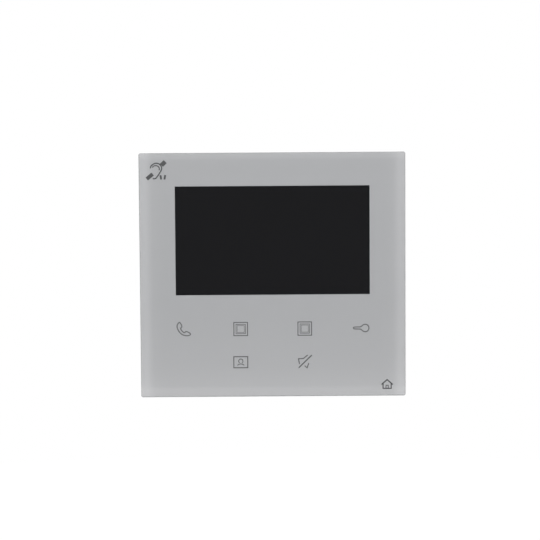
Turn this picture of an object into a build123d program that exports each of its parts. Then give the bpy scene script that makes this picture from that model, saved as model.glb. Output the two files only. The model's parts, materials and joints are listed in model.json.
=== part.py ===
from build123d import *
import os

# Wall-mounted hands-free video station with an induction loop for hearing aids.
# Millimetres. +X right as seen from the room, +Z up, the wall is the plane y = 0 and the
# station stands out of it towards -Y. The origin is the centre of the bracket's wall screws.
# "Depth" below always means the distance in front of the wall, so y = -depth.

os.makedirs("parts", exist_ok=True)

# ---------------------------------------------------------------- driving dimensions
panel_width = 168.5
panel_height = 155.0
panel_corner = 1.2
panel_thickness = 2.47
panel_chamfer = 0.35

film_inset = 1.7            # the grey print stops this far inside the panel's edge
film_corner = 0.5
film_thickness = 0.2
tape_inset = 2.75
tape_thickness = 0.3
clear_glue = 0.03           # optical adhesive between the print and the panel, not a piece of its own

window_width = 123.4
window_height = 69.1
window_z = 21.9             # centre of the display window above the panel's centre

icon_row_high = -34.6
icon_row_low = -55.9
icon_x_outer = 56.6
icon_x_inner = 20.4
icon_places = [
    (-icon_x_outer, icon_row_high),
    (-icon_x_inner, icon_row_high),
    (icon_x_inner, icon_row_high),
    (icon_x_outer, icon_row_high),
    (-icon_x_inner, icon_row_low),
    (icon_x_inner, icon_row_low),
]

# Depths, from the wall outwards.
bracket_front = 1.2
rim_depth = 1.0             # the housing's rim floats this far off the wall
floor_rear = 4.2
floor_front = 6.2
board_rear = 12.8
board_front = 14.4
skirt_rear = 20.0
flange_front = 22.0
retainer_rear = 21.0
retainer_front = 21.8
plate_rear = 23.0
frame_front = 25.0
film_rear = frame_front + tape_thickness
panel_rear = film_rear + film_thickness + clear_glue
panel_front = panel_rear + panel_thickness
bezel_front = 24.8

# Frame and housing.
skirt_wall = 2.0
skirt_inner_corner = 0.8
fit_gap = 0.2
body_width = 160.0          # housing body where it meets its flange
body_height = 146.5
body_corner = 4.0
body_wall = 2.0
body_draft = 4.0            # degrees
screw_post_x = 67.5
screw_post_z = 60.5
screw_post_middle_z = 6.0
screw_post_radius = 3.5
housing_screw_radius = 1.5
thread_clearance = 0.02
recess_blade_share = 0.26   # of the size of a screw's cross recess
recess_depth_share = 0.35

# Display module.
lcd_width = 120.7
lcd_height = 75.8
lcd_view_width = 110.0
lcd_view_height = 66.6
lcd_gap = 0.3
lcd_opening_width = lcd_width + 2 * lcd_gap
lcd_opening_height = lcd_height + 2 * lcd_gap
pocket_rib = 1.5
retainer_ear_x = 40.0
retainer_ear_high = 63.0
retainer_ear_low = -19.6
retainer_screw_radius = 1.0
lcd_flex_width = 24.0
flex_thickness = 0.3
flex_notch_width = 28.0     # gap in the pocket rib and the retainer where the display's flex leaves

# Touch board: a wide row for four keys and a short row below it for two.
touch_row_width = 128.0
touch_row_height = 15.6
touch_row_z = -35.2
touch_foot_width = 56.0
touch_foot_height = 20.0
touch_foot_z = -53.0
touch_rear = 24.0
electrode_thickness = 0.1
key_light_width = 10.6
key_light_height = 8.8
key_hole_width = 11.4
key_hole_height = 9.6

# Main board and its fixings.
board_width = 126.0
board_bottom = -65.0
board_top = 40.0
board_post_x = 54.0
board_post_z = -56.0
standoff_x = 55.0
standoff_z = 34.0
board_screw_radius = 1.25

# Hearing loop winding.
coil_half_width = 75.5
coil_half_height = 69.0
coil_band = 3.0

# Loudspeaker, on the left behind the lower corner of the panel.
speaker_x = -60.0
speaker_z = -42.0
speaker_radius = 14.0
speaker_rear = 6.8

# Microphone in the bottom edge.
microphone_x = 45.0
microphone_depth = 13.0
microphone_radius = 2.98

# Wiring window in the housing floor.
wiring_width = 84.0
wiring_bottom = -24.0
wiring_top = 20.0
wiring_wall = 1.2

# Plug-in screw terminals.
pole_pitch = 3.81
pole_count = 4
plug_x = 9.6
plug_z = -10.0
plug_head_width = 17.4
plug_head_height = 9.6
plug_head_rear = 1.8
plug_head_front = 6.2
plug_nose_width = 15.5
plug_nose_height = 6.9
plug_nose_front = 11.2
header_rear = 6.4
header_base = 11.6
header_width = 17.4
header_height = 9.0
header_inner_width = 15.8
header_inner_height = 7.2
pin_size = 1.0

# Address and function switches.
switch_z = 8.0
dial_x = {"tens_dial": -33.0, "units_dial": -21.0, "door_dial": -9.0}
dial_body_size = 9.8
dial_body_rear = 8.2
dial_radius = 3.2
dial_fit = 0.05
slider_x = {"mode_slider": 4.5, "lock_slider": 17.0}
slide_body_width = 9.2
slide_body_height = 4.4
slide_body_rear = 8.6
slide_channel_width = 6.4
slide_channel_height = 2.4
slider_rest = -1.0

# Wall bracket.
bracket_width = 88.0
bracket_height = 112.0
bracket_opening_width = 46.0
bracket_opening_height = 60.0
wall_screw_x = 36.0
wall_screw_z = 50.0
wall_screw_radius = 2.25
box_screw_x = 30.0
box_slot_length = 8.0
box_slot_width = 4.2
hook_x = 36.0
hook_width = 10.0
hook_sheet = 1.2
hook_rise = 8.2
hook_tongue_rear = 6.5
hook_roots = [32.0, -38.0]  # lower face of each hook's arm
hook_slot_height = 9.5
hook_slot_width = 10.6


# ---------------------------------------------------------------- planes and shapes
def depth_plane(depth):
    """Plane parallel to the wall, seen from the room: sketch x is X and sketch y is Z."""
    return Plane(origin=(0, -depth, 0), x_dir=(1, 0, 0), z_dir=(0, -1, 0))


def axis_plane(x, z):
    """Plane through a line square to the wall at (x, z): sketch x is radius, sketch y is depth."""
    return Plane(origin=(x, 0, z), x_dir=(1, 0, 0), z_dir=(0, 0, -1))


def side_plane(x):
    """Plane square to X: sketch x is Z and sketch y is depth."""
    return Plane(origin=(x, 0, 0), x_dir=(0, 0, 1), z_dir=(1, 0, 0))


def depth_axis(x, z):
    """Line square to the wall at (x, z)."""
    return Axis((x, 0, z), (0, -1, 0))


def touch_outline(margin=0.0):
    """Draw the touch board's T outline, grown by margin, in the sketch that is open."""
    with Locations((0, touch_row_z)):
        Rectangle(touch_row_width + 2 * margin, touch_row_height + 2 * margin)
    with Locations((0, touch_foot_z)):
        Rectangle(touch_foot_width + 2 * margin, touch_foot_height + 2 * margin)


def cross_recess(places, depth, size):
    """Cut a cross recess for a driver into screw heads that face the wall at this depth."""
    with BuildSketch(depth_plane(depth)) as recess:
        with Locations(*places):
            Rectangle(size, size * recess_blade_share)
            Rectangle(size * recess_blade_share, size)
    extrude(recess.sketch, amount=size * recess_depth_share, mode=Mode.SUBTRACT)


def pole_offsets():
    """X offsets of a plug's poles from its centre."""
    first = -pole_pitch * (pole_count - 1) / 2
    return [first + pole_pitch * index for index in range(pole_count)]


film_width = panel_width - 2 * film_inset
film_height = panel_height - 2 * film_inset
screw_posts = [(side * screw_post_x, z) for side in (-1, 1)
               for z in (-screw_post_z, screw_post_middle_z, screw_post_z)]
retainer_ears = [(side * retainer_ear_x, z) for side in (-1, 1)
                 for z in (retainer_ear_low, retainer_ear_high)]
board_posts = [(side * board_post_x, board_post_z) for side in (-1, 1)]
standoffs = [(side * standoff_x, standoff_z) for side in (-1, 1)]

# ================================================================ front
# Clear front panel with a small chamfer round its face.
with BuildPart() as front_panel:
    with BuildSketch(depth_plane(panel_rear)):
        RectangleRounded(panel_width, panel_height, panel_corner)
    extrude(amount=panel_thickness)
    chamfer(front_panel.edges().group_by(Axis.Y)[0], length=panel_chamfer)
front_panel.part.label = "front_panel"
export_step(front_panel.part, "parts/front_panel.step")

# Grey printed film behind the panel, open at the display window.
with BuildPart() as graphic_film:
    with BuildSketch(depth_plane(film_rear)):
        RectangleRounded(film_width, film_height, film_corner)
        with Locations((0, window_z)):
            Rectangle(window_width, window_height, mode=Mode.SUBTRACT)
    extrude(amount=film_thickness)
graphic_film.part.label = "graphic_film"
export_step(graphic_film.part, "parts/graphic_film.step")

# Smoked window that fills the film's opening.
with BuildPart() as window_film:
    with BuildSketch(depth_plane(film_rear)):
        with Locations((0, window_z)):
            Rectangle(window_width, window_height)
    extrude(amount=film_thickness)
window_film.part.label = "window_film"
export_step(window_film.part, "parts/window_film.step")

# Double-sided tape between film and frame, open at the display and over each key light.
tape_width = panel_width - 2 * tape_inset
tape_height = panel_height - 2 * tape_inset
tape_corner = 1.0
tape_window_gap = 0.6
with BuildPart() as panel_adhesive:
    with BuildSketch(depth_plane(frame_front)):
        RectangleRounded(tape_width, tape_height, tape_corner)
        with Locations((0, window_z)):
            Rectangle(lcd_width + 2 * tape_window_gap, lcd_height + 2 * tape_window_gap, mode=Mode.SUBTRACT)
        with Locations(*icon_places):
            Rectangle(key_light_width, key_light_height, mode=Mode.SUBTRACT)
    extrude(amount=tape_thickness)
panel_adhesive.part.label = "panel_adhesive"
export_step(panel_adhesive.part, "parts/panel_adhesive.step")

# Moulded frame: a front plate with a skirt flush with the panel's edge, a pocket round the
# display, posts for the screws and ribs that hold the hearing loop.
post_hole_depth = 10.0
board_hole_depth = 6.6
retainer_hole_depth = 2.6
retainer_boss_radius = 2.4
board_post_radius = 2.8
skirt_round = 0.5
coil_rib_rear = 19.4
coil_rib_length = 6.0
coil_rib_thickness = 1.0
coil_rib_gap = 0.2
coil_clip_x = [-52.0, 0.0, 52.0]
coil_clip_z = [-30.0, 30.0]
with BuildPart() as front_frame:
    with BuildSketch(depth_plane(plate_rear)):
        RectangleRounded(panel_width, panel_height, panel_corner)
        with Locations((0, window_z)):
            Rectangle(lcd_opening_width, lcd_opening_height, mode=Mode.SUBTRACT)
        with BuildSketch(depth_plane(plate_rear), mode=Mode.SUBTRACT):
            touch_outline(margin=lcd_gap)
    extrude(amount=frame_front - plate_rear)
    with BuildSketch(depth_plane(skirt_rear)):
        RectangleRounded(panel_width, panel_height, panel_corner)
        RectangleRounded(panel_width - 2 * skirt_wall, panel_height - 2 * skirt_wall, skirt_inner_corner,
                         mode=Mode.SUBTRACT)
    extrude(amount=plate_rear - skirt_rear)
    fillet(front_frame.faces().sort_by(Axis.Y)[-1].outer_wire().edges(), radius=skirt_round)
    # Pocket rib round the display, interrupted where the display's flex leaves it.
    with BuildSketch(depth_plane(retainer_front)):
        with Locations((0, window_z)):
            Rectangle(lcd_opening_width + 2 * pocket_rib, lcd_opening_height + 2 * pocket_rib)
            Rectangle(lcd_opening_width, lcd_opening_height, mode=Mode.SUBTRACT)
        with Locations((0, window_z - lcd_opening_height / 2)):
            Rectangle(flex_notch_width, 4 * pocket_rib, mode=Mode.SUBTRACT)
        with Locations(*retainer_ears):
            Circle(retainer_boss_radius)
    extrude(amount=plate_rear - retainer_front)
    with BuildSketch(depth_plane(floor_front)):
        with Locations(*screw_posts):
            Circle(screw_post_radius)
    extrude(amount=plate_rear - floor_front)
    with BuildSketch(depth_plane(board_front)):
        with Locations(*board_posts):
            Circle(board_post_radius)
    extrude(amount=plate_rear - board_front)
    # Ribs on both sides of the hearing loop winding.
    with BuildSketch(depth_plane(coil_rib_rear)):
        for side in (-1, 1):
            for clip_x in coil_clip_x:
                for rib_z in (coil_half_height + coil_rib_gap + coil_rib_thickness / 2,
                              coil_half_height - coil_band - coil_rib_gap - coil_rib_thickness / 2):
                    with Locations((clip_x, side * rib_z)):
                        Rectangle(coil_rib_length, coil_rib_thickness)
            for clip_z in coil_clip_z:
                for rib_x in (coil_half_width + coil_rib_gap + coil_rib_thickness / 2,
                              coil_half_width - coil_band - coil_rib_gap - coil_rib_thickness / 2):
                    with Locations((side * rib_x, clip_z)):
                        Rectangle(coil_rib_thickness, coil_rib_length)
    extrude(amount=plate_rear - coil_rib_rear)
    # Screw holes in the posts.
    with BuildSketch(depth_plane(floor_front)):
        with Locations(*screw_posts):
            Circle(housing_screw_radius + thread_clearance)
    extrude(amount=post_hole_depth, mode=Mode.SUBTRACT)
    with BuildSketch(depth_plane(board_front)):
        with Locations(*board_posts):
            Circle(board_screw_radius + thread_clearance)
    extrude(amount=board_hole_depth, mode=Mode.SUBTRACT)
    with BuildSketch(depth_plane(retainer_front)):
        with Locations(*retainer_ears):
            Circle(retainer_screw_radius + thread_clearance)
    extrude(amount=retainer_hole_depth, mode=Mode.SUBTRACT)
front_frame.part.label = "front_frame"
export_step(front_frame.part, "parts/front_frame.step")

# ================================================================ display
# Foam that seals the display against the window.
gasket_gap = 1.0
with BuildPart() as lcd_foam_gasket:
    with BuildSketch(depth_plane(bezel_front)):
        with Locations((0, window_z)):
            Rectangle(lcd_width, lcd_height)
            Rectangle(lcd_view_width + 2 * gasket_gap, lcd_view_height + 2 * gasket_gap, mode=Mode.SUBTRACT)
    extrude(amount=film_rear - bezel_front)
lcd_foam_gasket.part.label = "lcd_foam_gasket"
export_step(lcd_foam_gasket.part, "parts/lcd_foam_gasket.step")

# Pressed steel bezel: a shallow box with a viewing opening.
bezel_sheet = 0.4
with BuildPart() as lcd_bezel:
    with BuildSketch(depth_plane(retainer_front)):
        with Locations((0, window_z)):
            Rectangle(lcd_width, lcd_height)
    extrude(amount=bezel_front - retainer_front)
    with BuildSketch(depth_plane(retainer_front)):
        with Locations((0, window_z)):
            Rectangle(lcd_width - 2 * bezel_sheet, lcd_height - 2 * bezel_sheet)
    extrude(amount=bezel_front - retainer_front - bezel_sheet, mode=Mode.SUBTRACT)
    with BuildSketch(depth_plane(retainer_front)):
        with Locations((0, window_z)):
            Rectangle(lcd_view_width, lcd_view_height)
    extrude(amount=bezel_front - retainer_front, mode=Mode.SUBTRACT)
lcd_bezel.part.label = "lcd_bezel"
export_step(lcd_bezel.part, "parts/lcd_bezel.step")

# Glass cell of the display.
cell_rear = 23.4
cell_front = bezel_front - bezel_sheet
cell_gap = 0.2
cell_width = lcd_width - 2 * (bezel_sheet + cell_gap)
cell_height = lcd_height - 2 * (bezel_sheet + cell_gap)
with BuildPart() as lcd_cell:
    with BuildSketch(depth_plane(cell_rear)):
        with Locations((0, window_z)):
            Rectangle(cell_width, cell_height)
    extrude(amount=cell_front - cell_rear)
lcd_cell.part.label = "lcd_cell"
export_step(lcd_cell.part, "parts/lcd_cell.step")

# Backlight: light guide in a white tray, behind the cell.
with BuildPart() as lcd_backlight:
    with BuildSketch(depth_plane(retainer_front)):
        with Locations((0, window_z)):
            Rectangle(cell_width, cell_height)
    extrude(amount=cell_rear - retainer_front)
lcd_backlight.part.label = "lcd_backlight"
export_step(lcd_backlight.part, "parts/lcd_backlight.step")

# Steel plate that presses the display into its pocket and carries two standoffs. Each screw ear
# has a neck that joins it to the plate, and four windows make the plate lighter.
retainer_width = 124.0
retainer_height = 79.0
retainer_corner = 2.0
retainer_ear_radius = 2.6
retainer_ear_neck = 3.0
retainer_hole_gap = 0.1
retainer_window_width = 40.0
retainer_window_height = 22.0
retainer_window_corner = 3.0
retainer_window_pitch_x = 56.0
retainer_window_pitch_z = 36.0
retainer_necks = [(x, z + retainer_ear_neck / 2 if z < window_z else z - retainer_ear_neck / 2)
                  for x, z in retainer_ears]
with BuildPart() as lcd_retainer:
    with BuildSketch(depth_plane(retainer_rear)):
        with Locations((0, window_z)):
            RectangleRounded(retainer_width, retainer_height, retainer_corner)
        with Locations(*retainer_necks):
            Rectangle(2 * retainer_ear_radius, retainer_ear_neck)
        with Locations(*retainer_ears):
            Circle(retainer_ear_radius)
        with Locations(*retainer_ears):
            Circle(retainer_screw_radius + retainer_hole_gap, mode=Mode.SUBTRACT)
        with Locations((0, window_z)):
            with GridLocations(retainer_window_pitch_x, retainer_window_pitch_z, 2, 2):
                RectangleRounded(retainer_window_width, retainer_window_height, retainer_window_corner,
                                 mode=Mode.SUBTRACT)
        with Locations((0, window_z - lcd_opening_height / 2)):
            Rectangle(flex_notch_width, 4 * pocket_rib, mode=Mode.SUBTRACT)
    extrude(amount=retainer_front - retainer_rear)
lcd_retainer.part.label = "lcd_retainer"
export_step(lcd_retainer.part, "parts/lcd_retainer.step")

retainer_head_rear = 19.8
retainer_head_radius = 1.9
retainer_screw_length = 3.0
retainer_recess = 1.8
with BuildPart() as retainer_screws:
    with BuildSketch(depth_plane(retainer_head_rear)):
        with Locations(*retainer_ears):
            Circle(retainer_head_radius)
    extrude(amount=retainer_rear - retainer_head_rear)
    with BuildSketch(depth_plane(retainer_rear)):
        with Locations(*retainer_ears):
            Circle(retainer_screw_radius)
    extrude(amount=retainer_screw_length)
    cross_recess(retainer_ears, retainer_head_rear, retainer_recess)
retainer_screws.part.label = "retainer_screws"
export_step(retainer_screws.part, "parts/retainer_screws.step")

# Flex tail from the display's lower edge, folded back to its connector on the main board.
connector_front = 16.0
connector_rows = 4.0
connector_wall = 1.5        # a connector is this much wider than its flex on either side
flex_entry_depth = 15.2
lcd_flex_start = window_z - lcd_height / 2
lcd_flex_exit_depth = 22.3
lcd_flex_bend = -20.0
lcd_flex_bend_radius = 1.4
lcd_connector_top = -23.0
with BuildPart() as lcd_flex:
    with BuildLine(side_plane(0)) as lcd_flex_path:
        FilletPolyline(
            (lcd_flex_start, lcd_flex_exit_depth),
            (lcd_flex_bend, lcd_flex_exit_depth),
            (lcd_flex_bend, flex_entry_depth),
            (lcd_connector_top, flex_entry_depth),
            radius=lcd_flex_bend_radius,
        )
    lcd_flex_end = Plane(origin=lcd_flex_path.line @ 0, x_dir=(1, 0, 0), z_dir=lcd_flex_path.line % 0)
    with BuildSketch(lcd_flex_end):
        Rectangle(lcd_flex_width, flex_thickness)
    sweep()
lcd_flex.part.label = "lcd_flex"
export_step(lcd_flex.part, "parts/lcd_flex.step")

with BuildPart() as lcd_connector:
    with BuildSketch(depth_plane(board_front)):
        with Locations((0, lcd_connector_top - connector_rows / 2)):
            Rectangle(lcd_flex_width + 2 * connector_wall, connector_rows)
    extrude(amount=connector_front - board_front)
lcd_connector.part.label = "lcd_connector"
export_step(lcd_connector.part, "parts/lcd_connector.step")

# ================================================================ touch keys
# Touch board with a light hole behind each key.
with BuildPart() as touch_board:
    with BuildSketch(depth_plane(touch_rear)):
        touch_outline()
        with Locations(*icon_places):
            Rectangle(key_hole_width, key_hole_height, mode=Mode.SUBTRACT)
    extrude(amount=frame_front - touch_rear)
touch_board.part.label = "touch_board"
export_step(touch_board.part, "parts/touch_board.step")

# Copper sensing ring round each light hole, on the board's rear.
electrode_ring = 1.1
electrode_corner = 1.0
with BuildPart() as touch_electrodes:
    with BuildSketch(depth_plane(touch_rear - electrode_thickness)):
        with Locations(*icon_places):
            RectangleRounded(key_hole_width + 2 * electrode_ring, key_hole_height + 2 * electrode_ring,
                             electrode_corner)
            Rectangle(key_hole_width, key_hole_height, mode=Mode.SUBTRACT)
    extrude(amount=electrode_thickness)
touch_electrodes.part.label = "touch_electrodes"
export_step(touch_electrodes.part, "parts/touch_electrodes.step")

# Milky diffuser in each light hole.
diffuser_gap = 0.1
with BuildPart() as icon_diffusers:
    with BuildSketch(depth_plane(touch_rear)):
        with Locations(*icon_places):
            Rectangle(key_hole_width - 2 * diffuser_gap, key_hole_height - 2 * diffuser_gap)
    extrude(amount=frame_front - touch_rear)
icon_diffusers.part.label = "icon_diffusers"
export_step(icon_diffusers.part, "parts/icon_diffusers.step")

# White light shield: a plate behind the touch board with a tunnel to each key's LED and an
# opening in its middle for the touch controller and the flex.
shield_front = touch_rear - electrode_thickness
shield_plate = 1.0
shield_opening_z = -45.0
shield_opening_width = 16.0
shield_opening_height = 30.0
shield_opening_corner = 2.0
tunnel_rear = 14.7
tunnel_wall = 1.0
with BuildPart() as icon_light_shield:
    with BuildSketch(depth_plane(shield_front - shield_plate)):
        touch_outline()
        with Locations((0, shield_opening_z)):
            RectangleRounded(shield_opening_width, shield_opening_height, shield_opening_corner,
                             mode=Mode.SUBTRACT)
    extrude(amount=shield_plate)
    with BuildSketch(depth_plane(tunnel_rear)):
        with Locations(*icon_places):
            Rectangle(key_light_width + 2 * tunnel_wall, key_light_height + 2 * tunnel_wall)
    extrude(amount=shield_front - tunnel_rear)
    with BuildSketch(depth_plane(tunnel_rear)):
        with Locations(*icon_places):
            Rectangle(key_light_width, key_light_height)
    extrude(amount=shield_front - tunnel_rear, mode=Mode.SUBTRACT)
icon_light_shield.part.label = "icon_light_shield"
export_step(icon_light_shield.part, "parts/icon_light_shield.step")

# One LED on the main board behind each key.
led_width = 3.0
led_height = 2.8
led_thickness = 0.8
with BuildPart() as icon_leds:
    with BuildSketch(depth_plane(board_front)):
        with Locations(*icon_places):
            Rectangle(led_width, led_height)
    extrude(amount=led_thickness)
icon_leds.part.label = "icon_leds"
export_step(icon_leds.part, "parts/icon_leds.step")

controller_z = -54.0
controller_size = 5.0
controller_thickness = 0.9
with BuildPart() as touch_controller:
    with BuildSketch(depth_plane(touch_rear - controller_thickness)):
        with Locations((0, controller_z)):
            Rectangle(controller_size, controller_size)
    extrude(amount=controller_thickness)
touch_controller.part.label = "touch_controller"
export_step(touch_controller.part, "parts/touch_controller.step")

# Flex from the touch board's rear to the main board.
touch_flex_width = 8.0
touch_flex_start = -38.0
touch_flex_bend = -49.8
touch_flex_bend_radius = 1.6
touch_flex_solder_depth = touch_rear - flex_thickness / 2
touch_connector_low = -46.0
with BuildPart() as touch_flex:
    with BuildLine(side_plane(0)) as touch_flex_path:
        FilletPolyline(
            (touch_flex_start, touch_flex_solder_depth),
            (touch_flex_bend, touch_flex_solder_depth),
            (touch_flex_bend, flex_entry_depth),
            (touch_connector_low, flex_entry_depth),
            radius=touch_flex_bend_radius,
        )
    touch_flex_end = Plane(origin=touch_flex_path.line @ 0, x_dir=(1, 0, 0), z_dir=touch_flex_path.line % 0)
    with BuildSketch(touch_flex_end):
        Rectangle(touch_flex_width, flex_thickness)
    sweep()
touch_flex.part.label = "touch_flex"
export_step(touch_flex.part, "parts/touch_flex.step")

with BuildPart() as touch_connector:
    with BuildSketch(depth_plane(board_front)):
        with Locations((0, touch_connector_low + connector_rows / 2)):
            Rectangle(touch_flex_width + 2 * connector_wall, connector_rows)
    extrude(amount=connector_front - board_front)
touch_connector.part.label = "touch_connector"
export_step(touch_connector.part, "parts/touch_connector.step")

# ================================================================ main board
board_corner = 2.0
board_hole_gap = 0.2
with BuildPart() as main_board:
    with BuildSketch(depth_plane(board_rear)):
        with Locations((0, (board_top + board_bottom) / 2)):
            RectangleRounded(board_width, board_top - board_bottom, board_corner)
        with Locations(*(board_posts + standoffs)):
            Circle(board_screw_radius + board_hole_gap, mode=Mode.SUBTRACT)
    extrude(amount=board_front - board_rear)
main_board.part.label = "main_board"
export_step(main_board.part, "parts/main_board.step")

# Hexagonal standoffs between the retainer and the board.
standoff_radius = 3.0
with BuildPart() as board_standoffs:
    with BuildSketch(depth_plane(board_front)):
        with Locations(*standoffs):
            RegularPolygon(radius=standoff_radius, side_count=6)
            Circle(board_screw_radius + thread_clearance, mode=Mode.SUBTRACT)
    extrude(amount=retainer_rear - board_front)
board_standoffs.part.label = "board_standoffs"
export_step(board_standoffs.part, "parts/board_standoffs.step")

board_head_rear = 11.2
board_head_radius = 2.4
board_screw_length = 6.6
board_recess = 2.4
with BuildPart() as board_screws:
    with BuildSketch(depth_plane(board_head_rear)):
        with Locations(*(board_posts + standoffs)):
            Circle(board_head_radius)
    extrude(amount=board_rear - board_head_rear)
    with BuildSketch(depth_plane(board_rear)):
        with Locations(*(board_posts + standoffs)):
            Circle(board_screw_radius)
    extrude(amount=board_screw_length)
    cross_recess(board_posts + standoffs, board_head_rear, board_recess)
board_screws.part.label = "board_screws"
export_step(board_screws.part, "parts/board_screws.step")

processor_x = -24.0
processor_size = 14.0
processor_thickness = 1.2
processor_chamfer = 0.3
with BuildPart() as processor:
    with BuildSketch(depth_plane(board_front)):
        with Locations((processor_x, 0)):
            Rectangle(processor_size, processor_size)
    extrude(amount=processor_thickness)
    chamfer(processor.edges().group_by(Axis.Y)[0], length=processor_chamfer)
processor.part.label = "processor"
export_step(processor.part, "parts/processor.step")

# Two memory chips side by side above the processor.
memory_z = 20.0
memory_pitch = 13.0
memory_width = 9.0
memory_height = 11.0
memory_thickness = 1.0
with BuildPart() as memory_chips:
    with BuildSketch(depth_plane(board_front)):
        with Locations((processor_x, memory_z)):
            with GridLocations(memory_pitch, 0, 2, 1):
                Rectangle(memory_width, memory_height)
    extrude(amount=memory_thickness)
memory_chips.part.label = "memory_chips"
export_step(memory_chips.part, "parts/memory_chips.step")

# Video decoder, bus modem, audio codec, power controller and loop amplifier: x, z and size.
logic_chip_thickness = 1.1
logic_chip_places = [
    (2.0, 20.0, 7.0),
    (12.0, 2.0, 9.0),
    (30.0, 24.0, 6.0),
    (50.0, -10.0, 6.5),
    (-50.0, 2.0, 8.0),
]
with BuildPart() as logic_chips:
    with BuildSketch(depth_plane(board_front)):
        for chip_x, chip_z, chip_size in logic_chip_places:
            with Locations((chip_x, chip_z)):
                Rectangle(chip_size, chip_size)
    extrude(amount=logic_chip_thickness)
logic_chips.part.label = "logic_chips"
export_step(logic_chips.part, "parts/logic_chips.step")

# Clock crystal in its oval can.
crystal_place = (-8.0, -8.0)
crystal_length = 11.0
crystal_width = 4.6
crystal_height = 3.4
crystal_round = 0.5
with BuildPart() as crystal:
    with BuildSketch(depth_plane(board_front)):
        with Locations(crystal_place):
            SlotOverall(crystal_length, crystal_width)
    extrude(amount=crystal_height)
    fillet(crystal.edges().group_by(Axis.Y)[0], radius=crystal_round)
crystal.part.label = "crystal"
export_step(crystal.part, "parts/crystal.step")

# Electrolytic capacitors: a square foot under each round can.
capacitor_places = [(46.0, 26.0), (46.0, 17.0), (55.0, 17.0), (46.0, 6.0)]
capacitor_foot = 6.6
capacitor_foot_thickness = 0.8
capacitor_radius = 3.15
capacitor_can_height = 5.0
with BuildPart() as capacitors:
    with BuildSketch(depth_plane(board_front)):
        with Locations(*capacitor_places):
            Rectangle(capacitor_foot, capacitor_foot)
    extrude(amount=capacitor_foot_thickness)
    with BuildSketch(depth_plane(board_front + capacitor_foot_thickness)):
        with Locations(*capacitor_places):
            Circle(capacitor_radius)
    extrude(amount=capacitor_can_height)
capacitors.part.label = "capacitors"
export_step(capacitors.part, "parts/capacitors.step")

# Shielded power inductors, each with a round dimple in its top.
inductor_places = [(34.0, 8.0), (30.0, -6.0)]
inductor_size = 7.0
inductor_corner = 1.0
inductor_height = 3.2
inductor_dimple_radius = 2.6
inductor_dimple_depth = 0.6
with BuildPart() as power_inductors:
    with BuildSketch(depth_plane(board_front)):
        with Locations(*inductor_places):
            RectangleRounded(inductor_size, inductor_size, inductor_corner)
    extrude(amount=inductor_height)
    with BuildSketch(depth_plane(board_front + inductor_height)):
        with Locations(*inductor_places):
            Circle(inductor_dimple_radius)
    extrude(amount=-inductor_dimple_depth, mode=Mode.SUBTRACT)
power_inductors.part.label = "power_inductors"
export_step(power_inductors.part, "parts/power_inductors.step")

# Chip resistors and capacitors in blocks round the larger parts: x, z, columns and rows.
chip_blocks = [
    (-24.0, -11.0, 5, 2),
    (-24.0, 10.6, 6, 1),
    (12.0, -7.0, 4, 2),
    (15.0, 22.0, 3, 4),
    (-50.0, 14.0, 4, 3),
]
chip_length = 1.6
chip_width = 0.8
chip_thickness = 0.5
chip_pitch_x = 2.8
chip_pitch_z = 2.2
with BuildPart() as chip_parts:
    with BuildSketch(depth_plane(board_front)):
        for block_x, block_z, columns, rows in chip_blocks:
            with Locations((block_x, block_z)):
                with GridLocations(chip_pitch_x, chip_pitch_z, columns, rows):
                    Rectangle(chip_length, chip_width)
    extrude(amount=chip_thickness)
chip_parts.part.label = "chip_parts"
export_step(chip_parts.part, "parts/chip_parts.step")

# Ferrite core of the two-wire bus choke, on the board's rear: a frame with a leg across it.
choke_x = 33.0
choke_z = 2.0
choke_width = 14.0
choke_height = 12.0
choke_window_width = 10.4
choke_window_height = 8.0
choke_rear = 7.4
choke_leg_rear = 8.7
choke_leg_front = 11.5
choke_leg_width = 4.0
with BuildPart() as bus_choke_core:
    with BuildSketch(depth_plane(choke_rear)):
        with Locations((choke_x, choke_z)):
            Rectangle(choke_width, choke_height)
    extrude(amount=board_rear - choke_rear)
    with BuildSketch(depth_plane(choke_rear)):
        with Locations((choke_x, choke_z)):
            Rectangle(choke_window_width, choke_window_height)
    extrude(amount=board_rear - choke_rear, mode=Mode.SUBTRACT)
    with BuildSketch(depth_plane(choke_leg_rear)):
        with Locations((choke_x, choke_z)):
            Rectangle(choke_leg_width, choke_window_height)
    extrude(amount=choke_leg_front - choke_leg_rear)
bus_choke_core.part.label = "bus_choke_core"
export_step(bus_choke_core.part, "parts/bus_choke_core.step")

# Winding round the core's leg.
winding_length = 7.6
winding_width = 10.0
winding_depth = 5.0
winding_corner = 1.0
winding_gap = 0.05
choke_leg_depth = choke_leg_front - choke_leg_rear
with BuildPart() as bus_choke_winding:
    with BuildSketch(Plane.XY.offset(choke_z - winding_length / 2)):
        with Locations((choke_x, -(choke_leg_rear + choke_leg_front) / 2)):
            RectangleRounded(winding_width, winding_depth, winding_corner)
            Rectangle(choke_leg_width + 2 * winding_gap, choke_leg_depth + 2 * winding_gap,
                      mode=Mode.SUBTRACT)
    extrude(amount=winding_length)
bus_choke_winding.part.label = "bus_choke_winding"
export_step(bus_choke_winding.part, "parts/bus_choke_winding.step")

# ================================================================ sound
# Hearing loop: a flat winding round the inside of the frame.
coil_outer_corner = 4.0
coil_inner_corner = 2.0
with BuildPart() as induction_coil:
    with BuildSketch(depth_plane(skirt_rear)):
        RectangleRounded(2 * coil_half_width, 2 * coil_half_height, coil_outer_corner)
        RectangleRounded(2 * (coil_half_width - coil_band), 2 * (coil_half_height - coil_band),
                         coil_inner_corner, mode=Mode.SUBTRACT)
    extrude(amount=plate_rear - skirt_rear)
induction_coil.part.label = "induction_coil"
export_step(induction_coil.part, "parts/induction_coil.step")

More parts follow.
